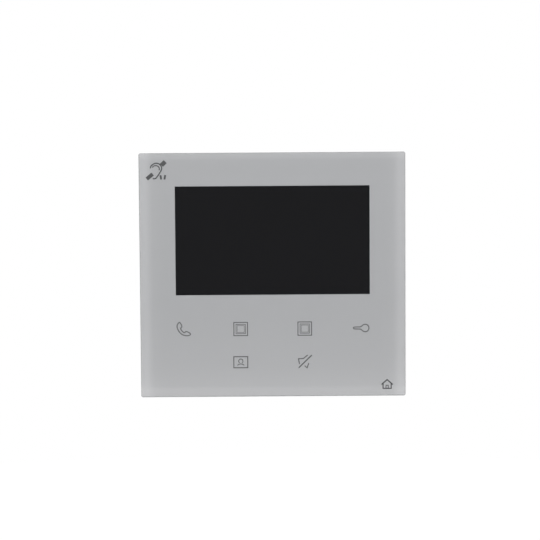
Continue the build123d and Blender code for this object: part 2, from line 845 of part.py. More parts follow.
# Twin lead from the winding to its pads on the main board.
coil_lead_z = -14.0
coil_lead_width = 2.4
coil_lead_thickness = 0.4
coil_lead_bend_radius = 1.6
coil_lead_points = [(coil_half_width - coil_band, 21.4), (67.5, 21.4), (61.5, 14.6), (58.0, 14.6)]
with BuildPart() as coil_lead:
    with BuildLine(axis_plane(0, coil_lead_z)) as coil_lead_path:
        FilletPolyline(*coil_lead_points, radius=coil_lead_bend_radius)
    coil_lead_end = Plane(origin=coil_lead_path.line @ 0, x_dir=(0, 0, 1), z_dir=coil_lead_path.line % 0)
    with BuildSketch(coil_lead_end):
        Rectangle(coil_lead_width, coil_lead_thickness)
    sweep()
coil_lead.part.label = "coil_lead"
export_step(coil_lead.part, "parts/coil_lead.step")

speaker_plane = axis_plane(speaker_x, speaker_z)
speaker_axis = depth_axis(speaker_x, speaker_z)
speaker_hub = 8.0
speaker_sheet = 0.8
gasket_inset = 0.4
gasket_band = 2.0
magnet_rear = 9.9
magnet_thickness = 2.5
magnet_chamfer = 0.5
with BuildPart() as speaker_gasket:
    with BuildSketch(depth_plane(floor_front)):
        with Locations((speaker_x, speaker_z)):
            Circle(speaker_radius - gasket_inset)
            Circle(speaker_radius - gasket_inset - gasket_band, mode=Mode.SUBTRACT)
    extrude(amount=speaker_rear - floor_front)
speaker_gasket.part.label = "speaker_gasket"
export_step(speaker_gasket.part, "parts/speaker_gasket.step")

# Pressed basket: a flat rim and a cone of sheet down to the magnet. Points are radius and depth.
basket_profile = [
    (speaker_radius, speaker_rear),
    (speaker_radius, speaker_rear + speaker_sheet),
    (12.4, speaker_rear + speaker_sheet),
    (9.0, magnet_rear),
    (7.0, magnet_rear),
    (7.0, 9.3),
    (8.6, 9.3),
    (11.6, speaker_rear),
]
with BuildPart() as speaker_frame:
    with BuildSketch(speaker_plane):
        with BuildLine():
            Polyline(*basket_profile, close=True)
        make_face()
    revolve(axis=speaker_axis)
speaker_frame.part.label = "speaker_frame"
export_step(speaker_frame.part, "parts/speaker_frame.step")

# Diaphragm: a shallow dome with a flat rim that is glued inside the basket. Points are radius
# and depth, first along the front and then back along the rear.
cone_profile = [
    (0, 7.2),
    (4.0, 7.6),
    (6.0, 8.3),
    (10.6, 7.0),
    (11.2, 7.0),
    (11.2, speaker_rear),
    (10.5, speaker_rear),
    (6.0, 8.0),
    (4.1, 7.35),
    (0, 6.95),
]
with BuildPart() as speaker_cone:
    with BuildSketch(speaker_plane):
        with BuildLine():
            Polyline(*cone_profile, close=True)
        make_face()
    revolve(axis=speaker_axis)
speaker_cone.part.label = "speaker_cone"
export_step(speaker_cone.part, "parts/speaker_cone.step")

with BuildPart() as speaker_magnet:
    with BuildSketch(depth_plane(magnet_rear)):
        with Locations((speaker_x, speaker_z)):
            Circle(speaker_hub)
    extrude(amount=magnet_thickness)
    chamfer(speaker_magnet.edges().group_by(Axis.Y)[0], length=magnet_chamfer)
speaker_magnet.part.label = "speaker_magnet"
export_step(speaker_magnet.part, "parts/speaker_magnet.step")

# Two leaf springs from the basket's terminals to the main board.
spring_sheet = 0.2
spring_width = 1.6
spring_bend_radius = 0.5
spring_half_pitch = 1.8
spring_low = speaker_rear + speaker_sheet + spring_sheet / 2
spring_high = board_rear - spring_sheet / 2
spring_points = [(-29.6, spring_low), (-27.0, spring_low), (-25.0, spring_high), (-22.5, spring_high)]
with BuildPart() as speaker_contacts:
    for spring_x in (speaker_x - spring_half_pitch, speaker_x + spring_half_pitch):
        with BuildLine(side_plane(spring_x)) as spring_path:
            FilletPolyline(*spring_points, radius=spring_bend_radius)
        spring_plane = Plane(origin=spring_path.line @ 0, x_dir=(1, 0, 0), z_dir=spring_path.line % 0)
        with BuildSketch(spring_plane) as spring:
            Rectangle(spring_width, spring_sheet)
        sweep(sections=spring.sketch, path=spring_path.line)
speaker_contacts.part.label = "speaker_contacts"
export_step(speaker_contacts.part, "parts/speaker_contacts.step")

# Rubber boot that leads sound from the port in the bottom wall to the microphone.
boot_bottom = -70.2
boot_top = -65.4
boot_width = 9.0
boot_depth = 8.4
boot_corner = 1.5
boot_port_radius = 1.0
boot_bore_radius = 3.0
capsule_bottom = -68.9
capsule_top = -66.2
capsule_face = 0.4
capsule_port_radius = 0.8
capsule_pin_pitch = 2.54
capsule_pin_width = 0.6
capsule_pin_depth = 0.5
capsule_pin_length = 3.0
with BuildPart() as microphone_boot:
    with BuildSketch(Plane.XY.offset(boot_bottom)):
        with Locations((microphone_x, -microphone_depth)):
            RectangleRounded(boot_width, boot_depth, boot_corner)
    extrude(amount=boot_top - boot_bottom)
    with BuildSketch(Plane.XY.offset(boot_bottom)):
        with Locations((microphone_x, -microphone_depth)):
            Circle(boot_port_radius)
    extrude(amount=capsule_bottom - boot_bottom, mode=Mode.SUBTRACT)
    with BuildSketch(Plane.XY.offset(capsule_bottom)):
        with Locations((microphone_x, -microphone_depth)):
            Circle(boot_bore_radius)
    extrude(amount=boot_top - capsule_bottom, mode=Mode.SUBTRACT)
microphone_boot.part.label = "microphone_boot"
export_step(microphone_boot.part, "parts/microphone_boot.step")

with BuildPart() as microphone:
    with BuildSketch(Plane.XY.offset(capsule_bottom)):
        with Locations((microphone_x, -microphone_depth)):
            Circle(microphone_radius)
            Circle(capsule_port_radius, mode=Mode.SUBTRACT)
    extrude(amount=capsule_face)
    with BuildSketch(Plane.XY.offset(capsule_bottom + capsule_face)):
        with Locations((microphone_x, -microphone_depth)):
            Circle(microphone_radius)
    extrude(amount=capsule_top - capsule_bottom - capsule_face)
    # Two pins soldered to the main board's rear.
    with BuildSketch(Plane.XY.offset(capsule_top)):
        with Locations((microphone_x, -(board_rear - capsule_pin_depth / 2))):
            with GridLocations(capsule_pin_pitch, 0, 2, 1):
                Rectangle(capsule_pin_width, capsule_pin_depth)
    extrude(amount=capsule_pin_length)
microphone.part.label = "microphone"
export_step(microphone.part, "parts/microphone.step")

# ================================================================ rear housing
flange_width = panel_width - 2 * skirt_wall - 2 * fit_gap
flange_height = panel_height - 2 * skirt_wall - 2 * fit_gap
rear_facing_joint = Plane(origin=(0, -skirt_rear, 0), x_dir=(1, 0, 0), z_dir=(0, 1, 0))
flange_inner_corner = 2.0
rim_round = 0.6
recess_width = 153.8
recess_height = 140.3
recess_corner = 2.0
floor_slot_length = 15.0
floor_slot_width = 1.6
floor_slot_pitch = 3.4
grille_slots = 5
vent_slots = 6
vent_x = 60.0
vent_z = 34.0
notch_depth = 2.4
notch_width = 2.0
notch_height = 1.6
notch_pitch = 4.0
notch_count = 8
notch_reach = 8.0
wall_vent_x = [-30.0, 0.0]
wall_vent_depth = 14.0
wall_vent_pitch = 4.0
wall_vent_length = 6.0
wall_vent_width = 1.6
port_radius = 1.0
port_reach = 5.0
beyond = 1.0                # how far outside a wall the cuts through it start
wiring_height = wiring_top - wiring_bottom
wiring_z = (wiring_top + wiring_bottom) / 2
wiring_corner = 2.0
wiring_wall_corner = 3.0
wiring_wall_front = 12.4
housing_hole_gap = 0.2
housing_seat_radius = 3.1
housing_seat_depth = 0.8
hook_slots = [(side * hook_x, root + hook_sheet - hook_slot_height / 2)
              for side in (-1, 1) for root in hook_roots]
with BuildPart() as rear_housing:
    # Body, drafted towards the wall, hollowed from the front and recessed from the rear.
    with BuildSketch(rear_facing_joint):
        RectangleRounded(body_width, body_height, body_corner)
    extrude(amount=skirt_rear - rim_depth, taper=body_draft)
    fillet(rear_housing.edges().group_by(Axis.Y)[-1], radius=rim_round)
    with BuildSketch(rear_facing_joint):
        RectangleRounded(body_width - 2 * body_wall, body_height - 2 * body_wall, body_corner - body_wall)
    extrude(amount=skirt_rear - floor_front, taper=body_draft, mode=Mode.SUBTRACT)
    with BuildSketch(depth_plane(rim_depth)):
        RectangleRounded(recess_width, recess_height, recess_corner)
    extrude(amount=floor_rear - rim_depth, mode=Mode.SUBTRACT)
    # Flange that fits inside the frame's skirt.
    with BuildSketch(depth_plane(skirt_rear)):
        RectangleRounded(flange_width, flange_height, skirt_inner_corner)
        RectangleRounded(body_width - 2 * body_wall, body_height - 2 * body_wall, flange_inner_corner,
                         mode=Mode.SUBTRACT)
    extrude(amount=flange_front - skirt_rear)
    # Wall round the wiring window, then the window itself.
    with BuildSketch(depth_plane(floor_front)):
        with Locations((0, wiring_z)):
            RectangleRounded(wiring_width + 2 * wiring_wall, wiring_height + 2 * wiring_wall,
                             wiring_wall_corner)
    extrude(amount=wiring_wall_front - floor_front)
    with BuildSketch(depth_plane(floor_rear)):
        with Locations((0, wiring_z)):
            RectangleRounded(wiring_width, wiring_height, wiring_corner)
    extrude(amount=wiring_wall_front - floor_rear, mode=Mode.SUBTRACT)
    # Slots that drop over the bracket's hooks.
    with BuildSketch(depth_plane(floor_rear)):
        with Locations(*hook_slots):
            Rectangle(hook_slot_width, hook_slot_height)
    extrude(amount=floor_front - floor_rear, mode=Mode.SUBTRACT)
    # Screw holes with a shallow seat for each head.
    with BuildSketch(depth_plane(floor_rear)):
        with Locations(*screw_posts):
            Circle(housing_screw_radius + housing_hole_gap)
    extrude(amount=floor_front - floor_rear, mode=Mode.SUBTRACT)
    with BuildSketch(depth_plane(floor_rear)):
        with Locations(*screw_posts):
            Circle(housing_seat_radius)
    extrude(amount=housing_seat_depth, mode=Mode.SUBTRACT)
    # Loudspeaker grille in the floor and sound outlets in the rim beside it.
    with BuildSketch(depth_plane(floor_rear)):
        with Locations((speaker_x, speaker_z)):
            with GridLocations(0, floor_slot_pitch, 1, grille_slots):
                SlotOverall(floor_slot_length, floor_slot_width)
    extrude(amount=floor_front - floor_rear, mode=Mode.SUBTRACT)
    with BuildSketch(side_plane(-body_width / 2 - beyond)):
        with Locations((speaker_z, notch_depth)):
            with GridLocations(notch_pitch, 0, notch_count, 1):
                Rectangle(notch_width, notch_height)
    extrude(amount=notch_reach, mode=Mode.SUBTRACT)
    # Ventilation slots in the floor above the loudspeaker and on the other side.
    with BuildSketch(depth_plane(floor_rear)):
        with Locations((-vent_x, vent_z), (vent_x, vent_z)):
            with GridLocations(0, floor_slot_pitch, 1, vent_slots):
                SlotOverall(floor_slot_length, floor_slot_width)
    extrude(amount=floor_front - floor_rear, mode=Mode.SUBTRACT)
    # Ventilation slots in the top and bottom walls.
    with BuildSketch(Plane.XY.offset(-body_height / 2 - beyond)):
        for vent_centre in wall_vent_x:
            with Locations((vent_centre, -wall_vent_depth)):
                with GridLocations(wall_vent_pitch, 0, vent_slots, 1):
                    SlotOverall(wall_vent_length, wall_vent_width, rotation=90)
    extrude(amount=body_height + 2 * beyond, mode=Mode.SUBTRACT)
    # Microphone port in the bottom wall.
    with BuildSketch(Plane.XY.offset(-body_height / 2 - beyond)):
        with Locations((microphone_x, -microphone_depth)):
            Circle(port_radius)
    extrude(amount=port_reach, mode=Mode.SUBTRACT)
rear_housing.part.label = "rear_housing"
export_step(rear_housing.part, "parts/rear_housing.step")

housing_head_rear = 3.3
housing_head_radius = 2.8
housing_seat = floor_rear + housing_seat_depth
housing_screw_length = 9.0
housing_recess = 3.0
with BuildPart() as housing_screws:
    with BuildSketch(depth_plane(housing_head_rear)):
        with Locations(*screw_posts):
            Circle(housing_head_radius)
    extrude(amount=housing_seat - housing_head_rear)
    with BuildSketch(depth_plane(housing_seat)):
        with Locations(*screw_posts):
            Circle(housing_screw_radius)
    extrude(amount=housing_screw_length)
    cross_recess(screw_posts, housing_head_rear, housing_recess)
housing_screws.part.label = "housing_screws"
export_step(housing_screws.part, "parts/housing_screws.step")

# ================================================================ terminals and switches
plug_places = {"bus_plug": -plug_x, "bell_plug": plug_x}
header_places = [(centre, plug_z) for centre in plug_places.values()]
all_poles = [(centre + offset, plug_z) for centre in plug_places.values() for offset in pole_offsets()]

# Shrouds on the board's rear that the plugs push into, one for the bus and one for the bell.
with BuildPart() as terminal_headers:
    with BuildSketch(depth_plane(header_rear)):
        with Locations(*header_places):
            Rectangle(header_width, header_height)
    extrude(amount=board_rear - header_rear)
    with BuildSketch(depth_plane(header_rear)):
        with Locations(*header_places):
            Rectangle(header_inner_width, header_inner_height)
    extrude(amount=header_base - header_rear, mode=Mode.SUBTRACT)
    with BuildSketch(depth_plane(header_base)):
        with Locations(*all_poles):
            Rectangle(pin_size, pin_size)
    extrude(amount=board_rear - header_base, mode=Mode.SUBTRACT)
terminal_headers.part.label = "terminal_headers"
export_step(terminal_headers.part, "parts/terminal_headers.step")

pin_rear = 7.6
with BuildPart() as header_pins:
    with BuildSketch(depth_plane(pin_rear)):
        with Locations(*all_poles):
            Rectangle(pin_size, pin_size)
    extrude(amount=board_rear - pin_rear)
header_pins.part.label = "header_pins"
export_step(header_pins.part, "parts/header_pins.step")

plug_corner = 0.6
plug_chamfer = 0.4
socket_rear = 7.2
socket_size = 1.3
clamp_screw_radius = 1.45
clamp_hole_gap = 0.05
clamp_head_rear = 2.1
clamp_tip_radius = 1.1
clamp_tip_length = 0.9
clamp_slot_length = 3.1
clamp_slot_width = 0.6
clamp_slot_depth = 0.6
clamp_screw_z = -10.6
wire_hole_rear = 3.2
wire_hole_front = 5.4
wire_hole_width = 2.4
wire_hole_length = 7.0
for plug_name, plug_centre in plug_places.items():
    poles = [(plug_centre + offset, plug_z) for offset in pole_offsets()]
    screw_places = [(plug_centre + offset, clamp_screw_z) for offset in pole_offsets()]
    # Plug body: a head with wire holes below and screw holes behind, and a nose with sockets.
    with BuildPart() as plug:
        with BuildSketch(depth_plane(plug_head_rear)):
            with Locations((plug_centre, plug_z)):
                RectangleRounded(plug_head_width, plug_head_height, plug_corner)
        extrude(amount=plug_head_front - plug_head_rear)
        chamfer(plug.edges().group_by(Axis.Y)[-1], length=plug_chamfer)
        with BuildSketch(depth_plane(plug_head_front)):
            with Locations((plug_centre, plug_z)):
                Rectangle(plug_nose_width, plug_nose_height)
        extrude(amount=plug_nose_front - plug_head_front)
        with BuildSketch(depth_plane(socket_rear)):
            with Locations(*poles):
                Rectangle(socket_size, socket_size)
        extrude(amount=plug_nose_front - socket_rear, mode=Mode.SUBTRACT)
        with BuildSketch(Plane.XY.offset(plug_z - plug_head_height / 2)):
            for offset in pole_offsets():
                with Locations((plug_centre + offset, -(wire_hole_rear + wire_hole_front) / 2)):
                    Rectangle(wire_hole_width, wire_hole_front - wire_hole_rear)
        extrude(amount=wire_hole_length, mode=Mode.SUBTRACT)
        with BuildSketch(depth_plane(plug_head_rear)):
            with Locations(*screw_places):
                Circle(clamp_screw_radius + clamp_hole_gap)
        extrude(amount=wire_hole_rear - plug_head_rear, mode=Mode.SUBTRACT)
    plug.part.label = plug_name
    export_step(plug.part, f"parts/{plug_name}.step")
    # Slotted clamp screws.
    with BuildPart() as plug_screws:
        with BuildSketch(depth_plane(clamp_head_rear)):
            with Locations(*screw_places):
                Circle(clamp_screw_radius)
        extrude(amount=wire_hole_rear - clamp_head_rear)
        with BuildSketch(depth_plane(wire_hole_rear)):
            with Locations(*screw_places):
                Circle(clamp_tip_radius)
        extrude(amount=clamp_tip_length)
        with BuildSketch(depth_plane(clamp_head_rear)):
            with Locations(*screw_places):
                Rectangle(clamp_slot_length, clamp_slot_width)
        extrude(amount=clamp_slot_depth, mode=Mode.SUBTRACT)
    plug_screws.part.label = f"{plug_name}_screws"
    export_step(plug_screws.part, f"parts/{plug_name}_screws.step")

# Three rotary address switches and two slide switches on the board's rear.
dial_places = [(x, switch_z) for x in dial_x.values()]
dial_body_chamfer = 0.3
dial_bore_depth = 2.3
with BuildPart() as address_switch_bodies:
    with BuildSketch(depth_plane(dial_body_rear)):
        with Locations(*dial_places):
            Rectangle(dial_body_size, dial_body_size)
    extrude(amount=board_rear - dial_body_rear)
    chamfer(address_switch_bodies.edges().group_by(Axis.Y)[-1], length=dial_body_chamfer)
    with BuildSketch(depth_plane(dial_body_rear)):
        with Locations(*dial_places):
            Circle(dial_radius + dial_fit)
    extrude(amount=dial_bore_depth, mode=Mode.SUBTRACT)
address_switch_bodies.part.label = "address_switch_bodies"
export_step(address_switch_bodies.part, "parts/address_switch_bodies.step")

dial_rear = 7.9
dial_thickness = 2.5
dial_slot_length = 4.8
dial_slot_width = 0.9
dial_slot_depth = 0.8
dial_notch_offset = 1.9
dial_notch_radius = 0.8
for dial_name, centre_x in dial_x.items():
    # Dial with a screwdriver slot and a notch that shows where it points.
    with BuildPart() as dial:
        with BuildSketch(depth_plane(dial_rear)):
            with Locations((centre_x, switch_z)):
                Circle(dial_radius)
        extrude(amount=dial_thickness)
        with BuildSketch(depth_plane(dial_rear)):
            with Locations((centre_x, switch_z)):
                Rectangle(dial_slot_length, dial_slot_width)
            with Locations((centre_x, switch_z + dial_notch_offset)):
                RegularPolygon(radius=dial_notch_radius, side_count=3, rotation=90)
        extrude(amount=dial_slot_depth, mode=Mode.SUBTRACT)
    dial.part.label = dial_name
    export_step(dial.part, f"parts/{dial_name}.step")

slide_places = [(x, switch_z) for x in slider_x.values()]
slide_channel_depth = 2.0
with BuildPart() as slide_switch_bodies:
    with BuildSketch(depth_plane(slide_body_rear)):
        with Locations(*slide_places):
            Rectangle(slide_body_width, slide_body_height)
    extrude(amount=board_rear - slide_body_rear)
    with BuildSketch(depth_plane(slide_body_rear)):
        with Locations(*slide_places):
            Rectangle(slide_channel_width, slide_channel_height)
    extrude(amount=slide_channel_depth, mode=Mode.SUBTRACT)
slide_switch_bodies.part.label = "slide_switch_bodies"
export_step(slide_switch_bodies.part, "parts/slide_switch_bodies.step")

# Each slider is a shoe that runs in its channel and a square knob that stands out of it.
shoe_rear = 8.9
shoe_front = 10.5
shoe_length = 3.6
shoe_height = 2.2
knob_rear = 7.2
knob_size = 1.8
for slider_name, centre_x in slider_x.items():
    with BuildPart() as slider:
        with BuildSketch(depth_plane(shoe_rear)):
            with Locations((centre_x + slider_rest, switch_z)):
                Rectangle(shoe_length, shoe_height)
        extrude(amount=shoe_front - shoe_rear)
        with BuildSketch(depth_plane(knob_rear)):
            with Locations((centre_x + slider_rest, switch_z)):
                Rectangle(knob_size, knob_size)
        extrude(amount=shoe_rear - knob_rear)
    slider.part.label = slider_name
    export_step(slider.part, f"parts/{slider_name}.step")

# ================================================================ wall bracket
bracket_corner = 4.0
bracket_flange_front = 2.8
bracket_flange_length = 100.0
hook_window_height = 12.0
arrow_z = 44.0
arrow_radius = 4.0
with BuildPart() as wall_bracket:
    with BuildSketch(depth_plane(0)):
        RectangleRounded(bracket_width, bracket_height, bracket_corner)
        RectangleRounded(bracket_opening_width, bracket_opening_height, bracket_corner, mode=Mode.SUBTRACT)
        with GridLocations(2 * wall_screw_x, 2 * wall_screw_z, 2, 2):
            Circle(wall_screw_radius, mode=Mode.SUBTRACT)
        with GridLocations(2 * box_screw_x, 0, 2, 1):
            SlotOverall(box_slot_length, box_slot_width, mode=Mode.SUBTRACT)
        # Windows that the hooks were pressed out of.
        for root in hook_roots:
            with Locations((0, root + hook_sheet + hook_window_height / 2)):
                with GridLocations(2 * hook_x, 0, 2, 1):
                    Rectangle(hook_width, hook_window_height, mode=Mode.SUBTRACT)
        # Arrow that points up.
        with Locations((0, arrow_z)):
            RegularPolygon(radius=arrow_radius, side_count=3, rotation=90, mode=Mode.SUBTRACT)
    extrude(amount=bracket_front)
    # Edges turned forward for stiffness.
    with BuildSketch(depth_plane(bracket_front)):
        with GridLocations(bracket_width - hook_sheet, 0, 2, 1):
            Rectangle(hook_sheet, bracket_flange_length)
    extrude(amount=bracket_flange_front - bracket_front)
    # Hooks: an arm out from the plate and a tongue that stands up in front of the housing's floor.
    for root in hook_roots:
        with BuildSketch(depth_plane(bracket_front)):
            with Locations((0, root + hook_sheet / 2)):
                with GridLocations(2 * hook_x, 0, 2, 1):
                    Rectangle(hook_width, hook_sheet)
        extrude(amount=hook_tongue_rear + hook_sheet - bracket_front)
        with BuildSketch(depth_plane(hook_tongue_rear)):
            with Locations((0, root + hook_rise / 2)):
                with GridLocations(2 * hook_x, 0, 2, 1):
                    RectangleRounded(hook_width, hook_rise, hook_sheet)
        extrude(amount=hook_sheet)
wall_bracket.part.label = "wall_bracket"
export_step(wall_bracket.part, "parts/wall_bracket.step")
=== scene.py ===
import json
import math
from collections import namedtuple

import bpy
import bmesh
from mathutils import Matrix, Vector


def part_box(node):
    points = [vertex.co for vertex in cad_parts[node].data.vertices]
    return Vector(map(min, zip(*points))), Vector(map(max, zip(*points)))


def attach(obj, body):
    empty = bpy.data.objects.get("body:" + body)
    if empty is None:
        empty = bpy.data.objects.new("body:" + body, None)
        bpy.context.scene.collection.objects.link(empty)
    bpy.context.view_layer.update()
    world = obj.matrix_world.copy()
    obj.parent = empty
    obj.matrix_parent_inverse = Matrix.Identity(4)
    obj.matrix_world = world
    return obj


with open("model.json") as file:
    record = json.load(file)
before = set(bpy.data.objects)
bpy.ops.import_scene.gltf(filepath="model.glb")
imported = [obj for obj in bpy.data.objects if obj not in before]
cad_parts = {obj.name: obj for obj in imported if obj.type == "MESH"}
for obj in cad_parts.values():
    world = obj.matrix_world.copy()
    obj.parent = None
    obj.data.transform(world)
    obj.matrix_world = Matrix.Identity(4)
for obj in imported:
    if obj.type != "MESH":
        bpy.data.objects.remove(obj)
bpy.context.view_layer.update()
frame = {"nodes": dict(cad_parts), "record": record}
record = frame["record"]
nodes = frame["nodes"]

MM = 0.001


# ------------------------------------------------- the frame's own sizes, in metres
panel_low, panel_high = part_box("front_panel")
film_low, film_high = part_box("graphic_film")
panel_half_width = (panel_high.x - panel_low.x) / 2
panel_half_height = (panel_high.z - panel_low.z) / 2
film_half_width = (film_high.x - film_low.x) / 2
film_half_height = (film_high.z - film_low.z) / 2
panel_face_y = panel_low.y
film_face_y = film_low.y
glue_gap = film_face_y - panel_high.y


# ================================================= camera, light and stage
def add_camera():
    """A long lens a little above the middle of the panel, with a slight roll."""
    distance = 0.8
    azimuth = math.radians(-0.293)
    elevation = math.radians(3.237)
    roll = math.radians(-0.388)
    aim = Vector((-0.0017, panel_face_y, 0.0032))
    centre = Vector((0.0, panel_face_y, 0.0))
    place = centre + distance * Vector((
        math.sin(azimuth) * math.cos(elevation),
        -math.cos(azimuth) * math.cos(elevation),
        math.sin(elevation),
    ))
    forward = (aim - place).normalized()
    level_right = forward.cross(Vector((0, 0, 1))).normalized()
    level_up = level_right.cross(forward)
    right = math.cos(roll) * level_right + math.sin(roll) * level_up
    up = math.cos(roll) * level_up - math.sin(roll) * level_right
    data = bpy.data.cameras.new("photo_camera")
    data.sensor_width = 36.0
    data.lens = 84.1
    camera = bpy.data.objects.new("photo_camera", data)
    turn = Matrix((right, up, -forward)).transposed().to_4x4()
    camera.matrix_world = Matrix.Translation(place) @ turn
    bpy.context.scene.collection.objects.link(camera)
    bpy.context.scene.camera = camera


def add_area_light(name, place, size, power):
    """A square soft box that faces the object."""
    data = bpy.data.lights.new(name, "AREA")
    data.shape = "SQUARE"
    data.size = size
    data.energy = power
    light = bpy.data.objects.new(name, data)
    light.location = place
    light.rotation_euler = (-Vector(place)).to_track_quat("-Z", "Y").to_euler()
    bpy.context.scene.collection.objects.link(light)


def add_world(shown, felt):
    """White behind the object as the camera sees it, and a dimmer grey room that lights it."""
    world = bpy.data.worlds.new("studio")
    bpy.context.scene.world = world
    world.use_nodes = True
    tree = world.node_tree
    tree.nodes.clear()
    output = tree.nodes.new("ShaderNodeOutputWorld")
    room = tree.nodes.new("ShaderNodeBackground")
    room.inputs["Color"].default_value = (felt, felt, felt, 1)
    backdrop = tree.nodes.new("ShaderNodeBackground")
    backdrop.inputs["Color"].default_value = (shown, shown, shown, 1)
    path = tree.nodes.new("ShaderNodeLightPath")
    choose = tree.nodes.new("ShaderNodeMixShader")
    tree.links.new(path.outputs["Is Camera Ray"], choose.inputs[0])
    tree.links.new(room.outputs[0], choose.inputs[1])
    tree.links.new(backdrop.outputs[0], choose.inputs[2])
    tree.links.new(choose.outputs[0], output.inputs["Surface"])


def add_floor(material):
    """A pale round floor well below the object.

    It is left out of sharp reflections, so that the dark window stays clean.
    """
    floor_level = -0.42
    floor_radius = 1.5
    mesh = bpy.data.meshes.new("floor")
    shape = bmesh.new()
    bmesh.ops.create_circle(shape, cap_ends=True, segments=96, radius=floor_radius)
    shape.to_mesh(mesh)
    shape.free()
    floor = bpy.data.objects.new("floor", mesh)
    floor.location = (0, 0, floor_level)
    bpy.context.scene.collection.objects.link(floor)
    mesh.materials.append(material)
    floor.visible_glossy = False
    floor.visible_transmission = False


# ================================================= materials
class Finish:
    """A node material with one Principled shader, and short calls for the nodes that feed it."""

    def __init__(self, name, roughness, metallic=0.0, specular=0.5, coat=0.0):
        self.material = bpy.data.materials.new(name)
        self.material.use_nodes = True
        self.tree = self.material.node_tree
        self.tree.nodes.clear()
        self.output = self.add("ShaderNodeOutputMaterial")
        self.shader = self.add("ShaderNodeBsdfPrincipled")
        self.shader.inputs["Roughness"].default_value = roughness
        self.shader.inputs["Metallic"].default_value = metallic
        self.shader.inputs["Specular IOR Level"].default_value = specular
        self.shader.inputs["Coat Weight"].default_value = coat
        self.surface(self.shader)
        self.place = self.add("ShaderNodeTexCoord").outputs["Object"]

    def add(self, kind):
        """A new node."""
        return self.tree.nodes.new(kind)

    def wire(self, source, target):
        """Link an output to an input."""
        self.tree.links.new(source, target)

    def surface(self, shader):
        """Show this shader on the surface."""
        self.wire(shader.outputs[0], self.output.inputs["Surface"])

    def feed(self, target, value):
        """Link a socket, or set a plain number or colour."""
        if isinstance(value, bpy.types.NodeSocket):
            self.wire(value, target)
        elif isinstance(value, tuple):
            target.default_value = (*value, 1)
        else:
            target.default_value = value

    def stretched(self, scale):
        """Object coordinates scaled along each axis."""
        mapping = self.add("ShaderNodeMapping")
        self.wire(self.place, mapping.inputs["Vector"])
        mapping.inputs["Scale"].default_value = scale
        return mapping.outputs[0]

    def noise(self, scale, detail=3.0, roughness=0.55, where=None):
        """Noise with features of about 1/scale metres."""
        texture = self.add("ShaderNodeTexNoise")
        self.wire(where or self.place, texture.inputs["Vector"])
        texture.inputs["Scale"].default_value = scale
        texture.inputs["Detail"].default_value = detail
        texture.inputs["Roughness"].default_value = roughness
        return texture.outputs["Fac"]

    def cells(self, scale, output="Distance"):
        """Cells of about 1/scale metres: the distance from each one's middle, or its own colour."""
        texture = self.add("ShaderNodeTexVoronoi")
        self.wire(self.place, texture.inputs["Vector"])
        texture.inputs["Scale"].default_value = scale
        return texture.outputs[output]

    def cell_tone(self, scale):
        """A random grey for each cell of about 1/scale metres."""
        grey = self.add("ShaderNodeRGBToBW")
        self.wire(self.cells(scale, "Color"), grey.inputs[0])
        return grey.outputs[0]

    def bands(self, scale, axis, distortion=0.0):
        """Soft stripes that follow one another along an axis."""
        texture = self.add("ShaderNodeTexWave")
        texture.wave_type = "BANDS"
        texture.bands_direction = axis
        self.wire(self.place, texture.inputs["Vector"])
        texture.inputs["Scale"].default_value = scale
        texture.inputs["Distortion"].default_value = distortion
        return texture.outputs["Fac"]

    def math(self, operation, first, second=0.0, clamp=False):
        """One step of arithmetic."""
        step = self.add("ShaderNodeMath")
        step.operation = operation
        step.use_clamp = clamp
        self.feed(step.inputs[0], first)
        self.feed(step.inputs[1], second)
        return step.outputs[0]

    def span(self, value, low, high, to_low=0.0, to_high=1.0):
        """Map a value smoothly from one range to another."""
        ranged = self.add("ShaderNodeMapRange")
        ranged.interpolation_type = "SMOOTHSTEP"
        self.feed(ranged.inputs["Value"], value)
        ranged.inputs["From Min"].default_value = low
        ranged.inputs["From Max"].default_value = high
        ranged.inputs["To Min"].default_value = to_low
        ranged.inputs["To Max"].default_value = to_high
        return ranged.outputs["Result"]

    def blend(self, amount, first, second):
        """Mix two colours."""
        mix = self.add("ShaderNodeMix")
        mix.data_type = "RGBA"
        self.feed(mix.inputs["Factor"], amount)
        colours = [socket for socket in mix.inputs if socket.type == "RGBA"]
        self.feed(colours[0], first)
        self.feed(colours[1], second)
        return next(socket for socket in mix.outputs if socket.type == "RGBA")

    def mix_shaders(self, amount, first, second):
        """Mix two shaders, all of the second where the amount is 1."""
        mix = self.add("ShaderNodeMixShader")
        self.wire(amount, mix.inputs[0])
        self.wire(first.outputs[0], mix.inputs[1])
        self.wire(second.outputs[0], mix.inputs[2])
        return mix

    def colour(self, amount, first, second):
        """Colour the surface from the first colour to the second by an amount."""
        self.feed(self.shader.inputs["Base Color"], self.blend(amount, first, second))

    def colour_about(self, colour, variation, amount):
        """Colour the surface a little darker or lighter than a colour by an amount."""
        self.colour(amount, shade(colour, 1 - variation), shade(colour, 1 + variation))

    def rough(self, value, low, high, to_low, to_high):
        """Roughness from one number to another as a value crosses its range."""
        self.feed(self.shader.inputs["Roughness"], self.span(value, low, high, to_low, to_high))

    def bump(self, height, depth):
        """Fine relief, depth metres from the lowest to the highest of height's 0 to 1."""
        bump = self.add("ShaderNodeBump")
        bump.inputs["Distance"].default_value = depth
        self.wire(height, bump.inputs["Height"])
        self.wire(bump.outputs["Normal"], self.shader.inputs["Normal"])

    def axes(self):
        """The X, Y and Z of the object coordinates."""
        split = self.add("ShaderNodeSeparateXYZ")
        self.wire(self.place, split.inputs[0])
        return split.outputs[0], split.outputs[1], split.outputs[2]


def shade(colour, factor):
    """A colour made lighter or darker."""
    return tuple(min(1.0, channel * factor) for channel in colour)


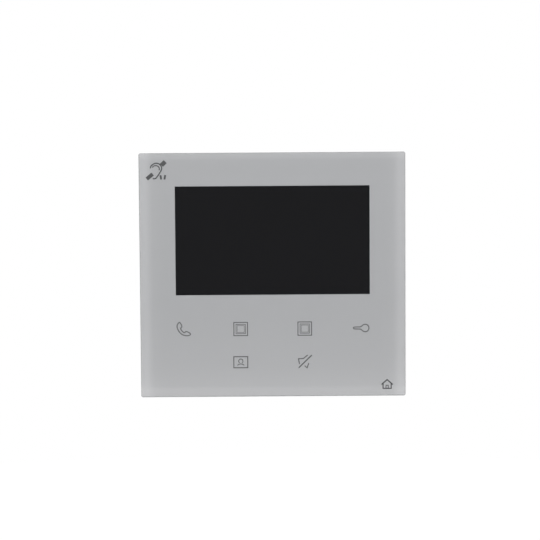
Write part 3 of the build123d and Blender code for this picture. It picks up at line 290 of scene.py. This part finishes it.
def moulded(name, colour, roughness=0.45, grain=2600.0, relief=0.00001, variation=0.05,
            specular=0.5):
    """Moulded plastic: faint mottling, uneven gloss and a fine spark-eroded grain."""
    mottling = 38.0
    gloss_patches = 420.0
    gloss_change = 0.06
    finish = Finish(name, roughness, specular=specular)
    finish.colour_about(colour, variation, finish.noise(mottling, detail=4.0))
    finish.rough(finish.noise(gloss_patches), 0.3, 0.7,
                 roughness - gloss_change, roughness + gloss_change)
    finish.bump(finish.noise(grain, detail=2.0, roughness=0.6), relief)
    return finish.material


def metal(name, colour, roughness=0.3, brushing=(30.0, 30.0, 900.0), relief=0.000004):
    """Metal with fine drawn or brushed lines, stretched along two axes."""
    variation = 0.1
    finish = Finish(name, roughness, metallic=1.0)
    lines = finish.noise(6.0, detail=5.0, roughness=0.65, where=finish.stretched(brushing))
    finish.colour_about(colour, variation, finish.noise(60.0, detail=4.0))
    finish.rough(lines, 0.3, 0.7, roughness - 0.08, roughness + 0.12)
    finish.bump(lines, relief)
    return finish.material


def foam(name, colour, pore_scale=2200.0):
    """Fine open foam or fibre, with painted shade: darker in its pores and lighter between them."""
    pore_depth = 0.00006
    finish = Finish(name, 0.9, specular=0.1)
    pores_and_painted_shade = finish.cells(pore_scale)
    # painted shade: the colour darkens in the pores that the bump sinks
    finish.colour(pores_and_painted_shade, shade(colour, 0.6), shade(colour, 1.3))
    finish.bump(pores_and_painted_shade, pore_depth)
    return finish.material


def clear_panel():
    """Polished clear acrylic with satin edges, which lets light through to the print behind it."""
    refraction = 1.49
    edge_width = 0.3 * MM
    satin_share = 0.7
    finish = Finish("clear_panel", 0.0)
    finish.shader.inputs["IOR"].default_value = refraction
    finish.shader.inputs["Transmission Weight"].default_value = 1.0
    finish.colour(finish.noise(9.0, detail=2.0), (0.975, 0.985, 0.982), (0.985, 0.99, 0.988))
    sawn = finish.add("ShaderNodeBsdfPrincipled")
    sawn.inputs["Base Color"].default_value = (0.36, 0.37, 0.37, 1)
    sawn.inputs["Roughness"].default_value = 0.35
    x, _, z = finish.axes()
    beside = finish.math("GREATER_THAN", finish.math("ABSOLUTE", x), panel_half_width - edge_width)
    above = finish.math("GREATER_THAN", finish.math("ABSOLUTE", z), panel_half_height - edge_width)
    at_edge = finish.math("MULTIPLY", finish.math("MAXIMUM", beside, above), satin_share)
    seen = finish.mix_shaders(at_edge, finish.shader, sawn)
    see_through = finish.add("ShaderNodeBsdfTransparent")
    see_through.inputs["Color"].default_value = (0.97, 0.975, 0.973, 1)
    path = finish.add("ShaderNodeLightPath")
    lighting = finish.math("MAXIMUM", path.outputs["Is Shadow Ray"], path.outputs["Is Diffuse Ray"])
    finish.surface(finish.mix_shaders(lighting, seen, see_through))
    return finish.material


def grey_print():
    """Light grey ink with painted light: lighter towards the panel's edges, where light enters
    sideways, and towards the bottom.
    """
    ink = (0.482, 0.48, 0.496)
    # the ink's colour where the painted edge light is at full strength
    edge_lit_ink = (0.678, 0.669, 0.685)
    speckle_strength = 0.02
    ink_relief = 0.000002
    finish = Finish("grey_print", 0.55, specular=0.2)
    x, _, z = finish.axes()
    left = finish.math("ADD", x, film_half_width)
    right = finish.math("SUBTRACT", film_half_width, x)
    top = finish.math("SUBTRACT", film_half_height, z)
    bottom = finish.math("ADD", z, film_half_height)
    # painted light at each edge: distance from the edge, where its painted light starts to fade and
    # where it ends in mm, its strength
    painted_edge_light = [
        (left, 1.0, 7.5, 0.36),
        (left, 0.0, 16.0, 0.12),
        (right, 1.2, 7.0, 0.34),
        (right, 0.0, 14.0, 0.1),
        (top, 0.0, 3.8, 0.3),
        (bottom, 2.4, 5.5, 0.2),
        # these two paint light that grows brighter towards the bottom
        (bottom, 0.0, 20.0, 0.2),
        (bottom, 0.0, 60.0, 0.2),
    ]
    painted_light_sum = 0.0
    for distance, start, end, strength in painted_edge_light:
        glow = finish.span(distance, start * MM, end * MM, strength, 0.0)
        painted_light_sum = finish.math("ADD", glow, painted_light_sum)
    speckle = finish.span(finish.noise(2400.0, detail=2.0), 0.3, 0.7,
                          -speckle_strength, speckle_strength)
    # painted light: the ink turns towards the edge-lit colour where the painted bands add up
    finish.colour(finish.math("ADD", painted_light_sum, speckle, clamp=True), ink, edge_lit_ink)
    finish.bump(finish.noise(5000.0, detail=1.0), ink_relief)
    return finish.material


def smoked_print():
    """Near-black window ink, very slightly uneven."""
    finish = Finish("smoked_print", 0.5, specular=0.0)
    finish.colour(finish.noise(20.0, detail=2.0), (0.0022, 0.0022, 0.0034), (0.003, 0.003, 0.0046))
    return finish.material


def symbol_ink(name, tone):
    """Printed grey lines with slightly uneven ink."""
    finish = Finish(name, 0.6, specular=0.2)
    finish.colour_about(tone, 0.08, finish.noise(3000.0, detail=2.0))
    return finish.material


def galvanised():
    """Zinc-coated sheet with a faint crystal spangle."""
    crystal_share = 0.35
    finish = Finish("galvanised_sheet", 0.38, metallic=1.0)
    crystals = finish.cell_tone(420.0)
    cloud = finish.noise(260.0, detail=4.0, roughness=0.65)
    tone = finish.math("ADD", finish.math("MULTIPLY", crystals, crystal_share),
                       finish.math("MULTIPLY", cloud, 1 - crystal_share))
    finish.colour(tone, (0.62, 0.63, 0.64), (0.78, 0.79, 0.8))
    finish.rough(tone, 0.25, 0.75, 0.34, 0.46)
    finish.bump(finish.noise(1500.0), 0.000006)
    return finish.material


def circuit_board():
    """Green solder mask over copper tracks that change direction by region, with fine vias."""
    track_scale = 230.0
    track_wander = 3.0
    track_height = 0.00002
    finish = Finish("circuit_board", 0.32, coat=0.3)
    across = finish.bands(track_scale, "X", track_wander)
    down = finish.bands(track_scale, "Z", track_wander)
    region = finish.span(finish.noise(60.0, detail=1.0), 0.46, 0.54)
    tracks = finish.span(finish.blend(region, across, down), 0.5, 0.62)
    vias = finish.span(finish.cells(330.0), 0.0, 0.13, 1.0, 0.0)
    mask = finish.blend(tracks, (0.012, 0.085, 0.035), (0.02, 0.15, 0.06))
    finish.colour(vias, mask, (0.5, 0.42, 0.25))
    finish.bump(tracks, track_height)
    return finish.material


def amber_flex():
    """Amber flexible circuit with parallel tracks."""
    finish = Finish("amber_flex", 0.3, coat=0.4)
    tracks = finish.span(finish.bands(900.0, "X"), 0.45, 0.55)
    finish.colour(tracks, (0.42, 0.17, 0.03), (0.62, 0.33, 0.09))
    finish.bump(tracks, 0.00001)
    return finish.material


def enamelled_wire():
    """Enamelled copper wire laid side by side, with painted shade in the grooves between turns and
    lighter crests.
    """
    finish = Finish("enamelled_wire", 0.28, metallic=0.7, coat=0.5)
    turns_and_painted_shade = finish.bands(1400.0, "Z", 0.3)
    # painted shade: dark where the bump makes grooves between turns, lighter on the crests
    finish.colour(turns_and_painted_shade, (0.16, 0.045, 0.015), (0.55, 0.2, 0.07))
    finish.bump(turns_and_painted_shade, 0.0001)
    return finish.material


def chip_black():
    """Black moulded epoxy with a fine grain."""
    finish = Finish("chip_black", 0.55)
    finish.colour(finish.noise(1800.0), (0.014, 0.014, 0.015), (0.035, 0.035, 0.037))
    finish.bump(finish.noise(6000.0, detail=2.0), 0.000008)
    return finish.material


def chip_ceramic():
    """Brown and black ceramic, mixed by place."""
    finish = Finish("chip_ceramic", 0.4)
    kind = finish.span(finish.cell_tone(650.0), 0.45, 0.55)
    finish.colour(kind, (0.32, 0.2, 0.12), (0.05, 0.05, 0.055))
    return finish.material


def floor_finish():
    """An even white floor, brighter to the camera than to the object and clear from underneath."""
    shown = 1.0
    felt = 0.5
    finish = Finish("floor", 0.8, specular=0.0)
    finish.colour(finish.noise(1.5, detail=1.0), (0.02, 0.02, 0.02), (0.03, 0.03, 0.03))
    finish.shader.inputs["Emission Color"].default_value = (1, 1, 1, 1)
    path = finish.add("ShaderNodeLightPath")
    glow = finish.span(path.outputs["Is Camera Ray"], 0.0, 1.0, felt, shown)
    finish.feed(finish.shader.inputs["Emission Strength"], glow)
    underneath = finish.add("ShaderNodeNewGeometry").outputs["Backfacing"]
    clear = finish.add("ShaderNodeBsdfTransparent")
    finish.surface(finish.mix_shaders(underneath, finish.shader, clear))
    return finish.material


def make_finishes():
    """One material for each slot in the record."""
    plastics = {
        "white_moulding": dict(colour=(0.62, 0.622, 0.62), roughness=0.5, relief=0.000016,
                               variation=0.015),
        "display_glass": dict(colour=(0.012, 0.012, 0.014), roughness=0.1, grain=200.0,
                              relief=0.0, variation=0.2),
        "backlight_white": dict(colour=(0.85, 0.85, 0.85)),
        "connector_ivory": dict(colour=(0.72, 0.66, 0.52)),
        "milky_diffuser": dict(colour=(0.82, 0.83, 0.84), roughness=0.4),
        "shield_white": dict(colour=(0.84, 0.84, 0.83), roughness=0.5),
        "led_white": dict(colour=(0.82, 0.72, 0.35), roughness=0.3),
        "ferrite": dict(colour=(0.06, 0.06, 0.065), roughness=0.6, grain=3000.0,
                        relief=0.00002, variation=0.2),
        "paper_cone": dict(colour=(0.05, 0.05, 0.05), roughness=0.75, grain=1500.0,
                           relief=0.00003, variation=0.2),
        "black_rubber": dict(colour=(0.025, 0.025, 0.026), roughness=0.7, grain=1800.0,
                             relief=0.00002, variation=0.2, specular=0.3),
        "terminal_green": dict(colour=(0.05, 0.27, 0.11), roughness=0.42, grain=2400.0,
                               relief=0.000012, variation=0.08),
        "switch_black": dict(colour=(0.03, 0.03, 0.034), grain=2400.0, variation=0.15),
        "dial_white": dict(colour=(0.8, 0.79, 0.74), grain=2400.0, variation=0.03),
    }
    metals = {
        "display_steel": dict(colour=(0.56, 0.57, 0.58)),
        "plated_sheet": dict(colour=(0.62, 0.63, 0.64), roughness=0.35,
                             brushing=(900.0, 30.0, 30.0)),
        "plated_screw": dict(colour=(0.64, 0.64, 0.65), roughness=0.28,
                             brushing=(500.0, 40.0, 500.0), relief=0.000003),
        "copper": dict(colour=(0.72, 0.36, 0.2)),
        "metal_can": dict(colour=(0.7, 0.71, 0.72), roughness=0.25, brushing=(60.0, 900.0, 60.0)),
        "brass_turned": dict(colour=(0.75, 0.58, 0.3), roughness=0.28,
                             brushing=(60.0, 900.0, 60.0)),
    }
    made = {
        "clear_panel": clear_panel(),
        "grey_print": grey_print(),
        "smoked_print": smoked_print(),
        "tape": foam("tape", (0.62, 0.62, 0.62), pore_scale=3500.0),
        "black_foam": foam("black_foam", (0.03, 0.03, 0.03)),
        "amber_flex": amber_flex(),
        "circuit_board": circuit_board(),
        "chip_black": chip_black(),
        "chip_ceramic": chip_ceramic(),
        "enamelled_wire": enamelled_wire(),
        "galvanised_sheet": galvanised(),
    }
    made.update({slot: moulded(slot, **look) for slot, look in plastics.items()})
    made.update({slot: metal(slot, **look) for slot, look in metals.items()})
    return made


# ================================================= flat outlines and thin solids
def arc(centre, radius, start, end, steps):
    """Points along an arc, angles in degrees."""
    points = []
    for index in range(steps + 1):
        angle = math.radians(start + (end - start) * index / steps)
        points.append((
            centre[0] + radius * math.cos(angle),
            centre[1] + radius * math.sin(angle),
        ))
    return points


def smooth_line(points, closed):
    """A Catmull-Rom curve through the points."""
    steps = 6
    count = len(points)
    result = []
    for index in range(count if closed else count - 1):
        around = [index + shift for shift in (-1, 0, 1, 2)]
        if closed:
            around = [place % count for place in around]
        else:
            around = [min(max(place, 0), count - 1) for place in around]
        p0, p1, p2, p3 = (Vector(points[place]) for place in around)
        for step in range(steps):
            t = step / steps
            point = 0.5 * (
                2 * p1
                + (p2 - p0) * t
                + (2 * p0 - 5 * p1 + 4 * p2 - p3) * t * t
                + (3 * p1 - p0 - 3 * p2 + p3) * t ** 3
            )
            result.append((point.x, point.y))
    if not closed:
        result.append(tuple(points[-1]))
    return result


def rectangle(width, height):
    """The four corners of a rectangle round the origin."""
    x, z = width / 2, height / 2
    return [(-x, -z), (x, -z), (x, z), (-x, z)]


def rounded_loop(half_width, half_height, radius):
    """Points round a rectangle with rounded corners, as X and Z."""
    steps = 6
    points = []
    for turn, (side, level) in enumerate(((1, 1), (-1, 1), (-1, -1), (1, -1))):
        corner = (side * (half_width - radius), level * (half_height - radius))
        points += arc(corner, radius, 90 * turn, 90 * turn + 90, steps)
    return points


def direction(start, end):
    """The unit vector from start to end, or None where they are the same point."""
    return (end - start).normalized() if (end - start).length > 0 else None


def add_stroke(shape, points, width, closed, under_y, face_y):
    """A flat line of the given width through the points (X, Z), as a closed thin solid.

    It lies between under_y, in or near the surface that carries it, and face_y, its visible face.
    """
    least_lean = 0.35  # keeps the mitre of a sharp corner short
    points = [Vector(point) for point in points]
    count = len(points)
    rings = []
    for index, point in enumerate(points):
        before = points[index - 1] if closed or index > 0 else point
        after = points[(index + 1) % count] if closed or index < count - 1 else point
        into = direction(before, point) or direction(point, after)
        out = direction(point, after) or into
        normal = Vector((-into.y - out.y, into.x + out.x)).normalized()
        lean = max(least_lean, normal.dot(Vector((-out.y, out.x))))
        offset = normal * (width / 2 / lean)
        left, right = point + offset, point - offset
        rings.append([
            shape.verts.new((left.x, under_y, left.y)),
            shape.verts.new((right.x, under_y, right.y)),
            shape.verts.new((right.x, face_y, right.y)),
            shape.verts.new((left.x, face_y, left.y)),
        ])
    for index in range(count if closed else count - 1):
        join_rings(shape, rings[index], rings[(index + 1) % count])
    if not closed:
        shape.faces.new(rings[0])
        shape.faces.new(list(reversed(rings[-1])))


def join_rings(shape, ring, following):
    """A band of four-sided faces between two rings of as many points."""
    for index in range(len(ring)):
        after = (index + 1) % len(ring)
        shape.faces.new((ring[index], ring[after], following[after], following[index]))


def add_patch(shape, points, under_y, face_y):
    """A filled flat shape, as a closed thin solid."""
    under = [shape.verts.new((x, under_y, z)) for x, z in points]
    face = [shape.verts.new((x, face_y, z)) for x, z in points]
    shape.faces.new(under)
    shape.faces.new(list(reversed(face)))
    join_rings(shape, under, face)


def finish_piece(name, shape, material):
    """Turn a bmesh in the frame's coordinates into a piece of the station."""
    bmesh.ops.recalc_face_normals(shape, faces=shape.faces)
    mesh = bpy.data.meshes.new(name)
    shape.to_mesh(mesh)
    shape.free()
    mesh.materials.append(material)
    piece = bpy.data.objects.new(name, mesh)
    bpy.context.scene.collection.objects.link(piece)
    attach(piece, "station")


# ================================================= printed symbols, in millimetres
KEY_TONE = (0.13, 0.13, 0.133)
EAR_TONE = (0.1, 0.1, 0.103)
HOUSE_TONE = (0.085, 0.085, 0.088)
KEY_LINE = 0.66
ROW_HIGH = -34.6
ROW_LOW = -55.9


def line(points, width):
    """An open stroke."""
    return points, width, False


def loop(points, width):
    """A closed stroke."""
    return points, width, True


def add_symbol(name, centre, strokes, tone=KEY_TONE):
    """One symbol of printed strokes round a centre, in the gap between the film and the panel."""
    shape = bmesh.new()
    under_y = film_face_y - 0.2 * glue_gap
    face_y = film_face_y - 0.6 * glue_gap
    for points, width, closed in strokes:
        placed = [((centre[0] + x) * MM, (centre[1] + z) * MM) for x, z in points]
        add_stroke(shape, placed, width * MM, closed, under_y, face_y)
    finish_piece(name, shape, symbol_ink(name + "_ink", tone))


def add_call_symbol():
    """A handset."""
    handset = smooth_line([
        (-3.0, 4.7), (-4.2, 3.4), (-4.5, 1.7), (-3.5, -0.8), (-1.6, -2.9), (0.9, -3.8),
        (2.9, -3.7), (4.0, -2.8), (2.9, -1.8), (1.2, -1.1), (0.2, -1.9), (-0.9, -1.3),
        (-1.9, -0.1), (-2.3, 0.9), (-1.4, 1.9), (-2.0, 3.6),
    ], closed=True)
    add_symbol("symbol_call", (-56.6, ROW_HIGH), [loop(handset, KEY_LINE)])


def add_square_symbol(name, x):
    """Three squares inside one another."""
    add_symbol(name, (x, ROW_HIGH + 0.2), [
        loop(rectangle(8.7, 8.5), 0.58),
        loop(rectangle(6.0, 5.9), 0.4),
        loop(rectangle(4.5, 4.4), 0.3),
    ])


def add_door_symbol():
    """A key lying down."""
    bow = arc((2.1, 0.3), 2.4, -140, 140, 28)
    stem = [(-0.9, 1.0), (-4.9, 0.95), (-5.5, 0.35), (-4.9, -0.25), (-0.9, -0.35)]
    add_symbol("symbol_door", (56.6, ROW_HIGH), [loop(bow + stem, KEY_LINE)])


def add_visitor_symbol():
    """A plain outline of head and shoulders in a frame."""
    figure_line = 0.55
    head = arc((0.0, 0.7), 1.35, -55, 235, 20)
    shoulders = arc((0.0, -4.0), 2.9, 42, 138, 12)
    add_symbol("symbol_visitor", (-20.7, ROW_LOW + 0.25), [
        loop(rectangle(8.9, 7.1), KEY_LINE),
        line(head, figure_line),
        line(shoulders, figure_line),
    ])


def add_mute_symbol():
    """A horn with a bar through it."""
    horn_top = [(-3.7, -1.2), (-4.3, 2.2), (-1.1, 2.4), (1.6, 4.6)]
    horn_low = [(-0.4, -2.3), (1.2, -3.6), (2.2, -0.6)]
    bar = [(-4.2, -3.6), (4.2, 4.5)]
    add_symbol("symbol_mute", (20.4, ROW_LOW), [
        line(horn_top, KEY_LINE),
        line(horn_low, KEY_LINE),
        line(bar, 0.8),
    ])


def add_hearing_loop_symbol():
    """An ear with a broken diagonal bar and two short marks."""
    mark_width = 1.25
    outer = smooth_line([
        (-4.1, 1.7), (-3.3, 3.5), (-0.7, 4.9), (1.7, 4.3), (3.0, 2.6), (2.9, 0.7), (1.8, -1.3),
        (0.5, -3.2), (-0.7, -4.6), (-1.9, -4.9), (-2.6, -4.6),
    ], closed=False)
    inner = smooth_line([
        (-2.7, 2.2), (-2.1, 3.0), (-0.5, 3.4), (1.0, 2.8), (1.6, 1.6), (1.5, 0.4),
    ], closed=False)
    add_symbol("symbol_hearing_loop", (-72.9, 66.3), [
        line(outer, 0.8),
        line(inner, 0.68),
        line([(3.0, 3.6), (5.4, 5.9)], 2.7),
        line([(-6.4, -5.0), (-2.6, -1.9)], 2.4),
        line([(2.3, -2.7), (2.8, -5.4)], mark_width),
        line([(5.3, -2.6), (4.8, -5.4)], mark_width),
    ], EAR_TONE)


def add_house_symbol():
    """A plain house in the lower right corner."""
    roof = [(-3.6, -0.2), (0.0, 2.9), (3.6, -0.2)]
    walls = [(-2.6, 0.6), (-2.6, -2.7), (2.6, -2.7), (2.6, 0.6)]
    door = [(-0.7, -2.7), (-0.7, -0.7), (0.7, -0.7), (0.7, -2.7)]
    add_symbol("symbol_house", (72.6, -70.4), [
        line(roof, 0.8),
        line(walls, 0.7),
        line(door, 0.5),
    ], HOUSE_TONE)


# ================================================= bead between the panel and the frame
def add_edge_bead():
    """A pale bead of adhesive round the print that closes the slot between panel and frame."""
    recess = 0.12 * MM
    clearance = 0.02 * MM
    outer_radius = 1.1 * MM
    inner_radius = 0.5 * MM
    outer = rounded_loop(panel_half_width - recess, panel_half_height - recess, outer_radius)
    inner = rounded_loop(film_half_width + clearance, film_half_height + clearance, inner_radius)
    back_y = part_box("front_frame")[0].y
    section = ((film_face_y, outer), (back_y, outer), (back_y, inner), (film_face_y, inner))
    shape = bmesh.new()
    rings = [[shape.verts.new((x, y, z)) for x, z in outline] for y, outline in section]
    for ring, following in zip(rings, rings[1:] + rings[:1]):
        join_rings(shape, ring, following)
    # the bead takes the print's finish, so it shows the print's painted edge light at full strength
    finish_piece("edge_bead", shape, finishes["grey_print"])


# ================================================= details on the main board's rear, in millimetres
PRINT_SUNK = 0.02  # print and pads start this far inside the surface under them
PRINT_RAISED = 0.03

Switch = namedtuple("Switch", "x z half_width half_height lead_pitch")


def middle(node):
    """X and Z of the middle of a CAD node."""
    low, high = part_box(node)
    return (low.x + high.x) / 2 / MM, (low.z + high.z) / 2 / MM


def find_dials():
    """The three dial switches."""
    names = ("tens_dial", "units_dial", "door_dial")
    return [Switch(*middle(name), 4.9, 4.9, 2.54) for name in names]


def find_slides():
    """The two slide switches, whose sliders rest to one side of the middle."""
    rest_offset = 1.0
    places = [middle(name) for name in ("mode_slider", "lock_slider")]
    return [Switch(x + rest_offset, z, 4.6, 2.2, 2.0) for x, z in places]


def in_metres(points):
    """Points in millimetres turned into metres."""
    return [(x * MM, z * MM) for x, z in points]


def add_print_line(shape, start, end, width, surface_y):
    """A straight line printed on a surface that faces the wall."""
    under_y = (surface_y - PRINT_SUNK) * MM
    face_y = (surface_y + PRINT_RAISED) * MM
    add_stroke(shape, in_metres([start, end]), width * MM, False, under_y, face_y)


def add_block(shape, centre, size, bevel):
    """A small box with softened edges."""
    edges_before = len(shape.edges)
    for vert in bmesh.ops.create_cube(shape, size=1.0)["verts"]:
        vert.co = Vector([(centre[axis] + vert.co[axis] * size[axis]) * MM for axis in range(3)])
    shape.edges.ensure_lookup_table()
    bmesh.ops.bevel(
        shape,
        geom=shape.edges[edges_before:],
        offset=bevel * MM,
        segments=2,
        profile=0.5,
        affect="EDGES",
    )


def add_lead(shape, x, side_z, outward, board_y):
    """A flat lead that leaves a switch's side, steps down and ends in a foot on the board."""
    half_width = 0.28
    # distance from the switch's side, height above the board
    profile = [
        (-0.1, 0.9), (0.3, 0.9), (0.5, 0.2), (1.1, 0.2),
        (1.1, 0.0), (0.36, 0.0), (0.18, 0.72), (-0.1, 0.72),
    ]
    ends = []
    for end_x in (x - half_width, x + half_width):
        ends.append([
            shape.verts.new((end_x * MM, (board_y + height) * MM, (side_z + outward * out) * MM))
            for out, height in profile
        ])
    shape.faces.new(ends[0])
    shape.faces.new(list(reversed(ends[1])))
    join_rings(shape, ends[1], ends[0])


def add_switch_leads(switches, board_y):
    """Three leads on the upper and lower side of each switch."""
    leads = bmesh.new()
    for switch in switches:
        for step in (-1, 0, 1):
            for outward in (-1, 1):
                x = switch.x + step * switch.lead_pitch
                side_z = switch.z + outward * switch.half_height
                add_lead(leads, x, side_z, outward, board_y)
    finish_piece("switch_leads", leads, finishes["plated_sheet"])


def add_rear_chips(board_y):
    """Three rows of small resistors and capacitors with plated ends."""
    rows = [
        (-1.6, (-18.5, -15.5, -9.5, -6.5, -3.5, 3.0, 6.0, 9.0, 15.0, 18.0)),
        (0.6, (-18.5, -15.5, 3.0, 6.0)),
        (16.2, (-27.0, -24.0, -15.5, -12.5, -2.0, 1.0, 8.0, 11.0, 20.0)),
    ]
    body_size = (1.1, 0.5, 0.8)
    body_height = 0.26
    end_size = (0.34, 0.54, 0.84)
    end_height = 0.27
    end_offset = 0.68
    bodies = bmesh.new()
    ends = bmesh.new()
    for z, row in rows:
        for x in row:
            add_block(bodies, (x, board_y + body_height, z), body_size, 0.05)
            for side in (-1, 1):
                add_block(ends, (x + side * end_offset, board_y + end_height, z), end_size, 0.08)
    finish_piece("rear_chip_bodies", bodies, finishes["chip_ceramic"])
    finish_piece("rear_chip_ends", ends, finishes["plated_sheet"])


def add_test_pads(board_y):
    """Round plated test pads."""
    places = [
        (-36.0, -1.5), (-33.0, -1.5), (-30.0, -1.5), (-27.0, -1.5), (-24.0, -1.5),
        (23.0, -3.0), (23.0, 16.0),
    ]
    radius = 0.65
    pad_raised = 0.05
    pads = bmesh.new()
    for place in places:
        outline = in_metres(arc(place, radius, 0, 345, 23))
        add_patch(pads, outline, (board_y - PRINT_SUNK) * MM, (board_y + pad_raised) * MM)
    finish_piece("test_pads", pads, finishes["brass_turned"])


def add_board_print(switches, board_y):
    """White lines beside the switches and above the plugs, with a dot at each plug's first pole."""
    line_offset = 0.45
    line_inset = 0.8
    line_width = 0.18
    plug_line_half = 9.2
    plug_line_above = 5.3
    plug_line_width = 0.2
    dot_from_plug = (-8.2, 6.2)
    dot_radius = 0.35
    outlines = bmesh.new()
    for switch in switches:
        for side in (-1, 1):
            x = switch.x + side * (switch.half_width + line_offset)
            reach = switch.half_height - line_inset
            start, end = (x, switch.z - reach), (x, switch.z + reach)
            add_print_line(outlines, start, end, line_width, board_y)
    for name in ("bus_plug", "bell_plug"):
        x, z = middle(name)
        start = (x - plug_line_half, z + plug_line_above)
        end = (x + plug_line_half, z + plug_line_above)
        add_print_line(outlines, start, end, plug_line_width, board_y)
        dot_centre = (x + dot_from_plug[0], z + dot_from_plug[1])
        dot = in_metres(arc(dot_centre, dot_radius, 0, 330, 11))
        add_patch(outlines, dot, (board_y - PRINT_SUNK) * MM, (board_y + PRINT_RAISED) * MM)
    finish_piece("board_print", outlines, finishes["dial_white"])


def add_dial_ticks(dials):
    """Ten marks round each dial, the top one longer and bolder."""
    housing_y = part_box("address_switch_bodies")[1].y / MM
    ticks = bmesh.new()
    for dial in dials:
        for step in range(10):
            inner, outer, width = (3.5, 4.4, 0.34) if step == 0 else (3.6, 4.2, 0.22)
            angle = math.radians(90 + 36 * step)
            start, end = (
                (dial.x + reach * math.cos(angle), dial.z + reach * math.sin(angle))
                for reach in (inner, outer)
            )
            add_print_line(ticks, start, end, width, housing_y)
    finish_piece("dial_ticks", ticks, finishes["dial_white"])


def add_board_details():
    """What shows through the wiring window beside the CAD pieces."""
    board_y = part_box("main_board")[1].y / MM
    dials = find_dials()
    switches = dials + find_slides()
    add_switch_leads(switches, board_y)
    add_rear_chips(board_y)
    add_test_pads(board_y)
    add_board_print(switches, board_y)
    add_dial_ticks(dials)


# ================================================= build
bpy.context.scene.view_settings.view_transform = "Standard"
add_camera()
add_world(shown=1.0, felt=0.15)
add_floor(floor_finish())
add_area_light("key_left", place=(-1.25, -1.15, 1.1), size=1.3, power=29.5)
add_area_light("key_right", place=(1.35, -1.05, 0.9), size=1.3, power=24.7)
add_area_light("rear_left", place=(-0.9, 1.2, 0.9), size=0.9, power=15)
add_area_light("rear_right", place=(1.1, 1.1, 0.4), size=0.9, power=9)

finishes = make_finishes()
for entry in record["subparts"]:
    node = nodes[entry["node"]]
    node.data.materials.clear()
    node.data.materials.append(finishes[entry["material_slot"]])

add_call_symbol()
add_square_symbol("symbol_light", -20.6)
add_square_symbol("symbol_program", 20.2)
add_door_symbol()
add_visitor_symbol()
add_mute_symbol()
add_hearing_loop_symbol()
add_house_symbol()
add_edge_bead()
add_board_details()
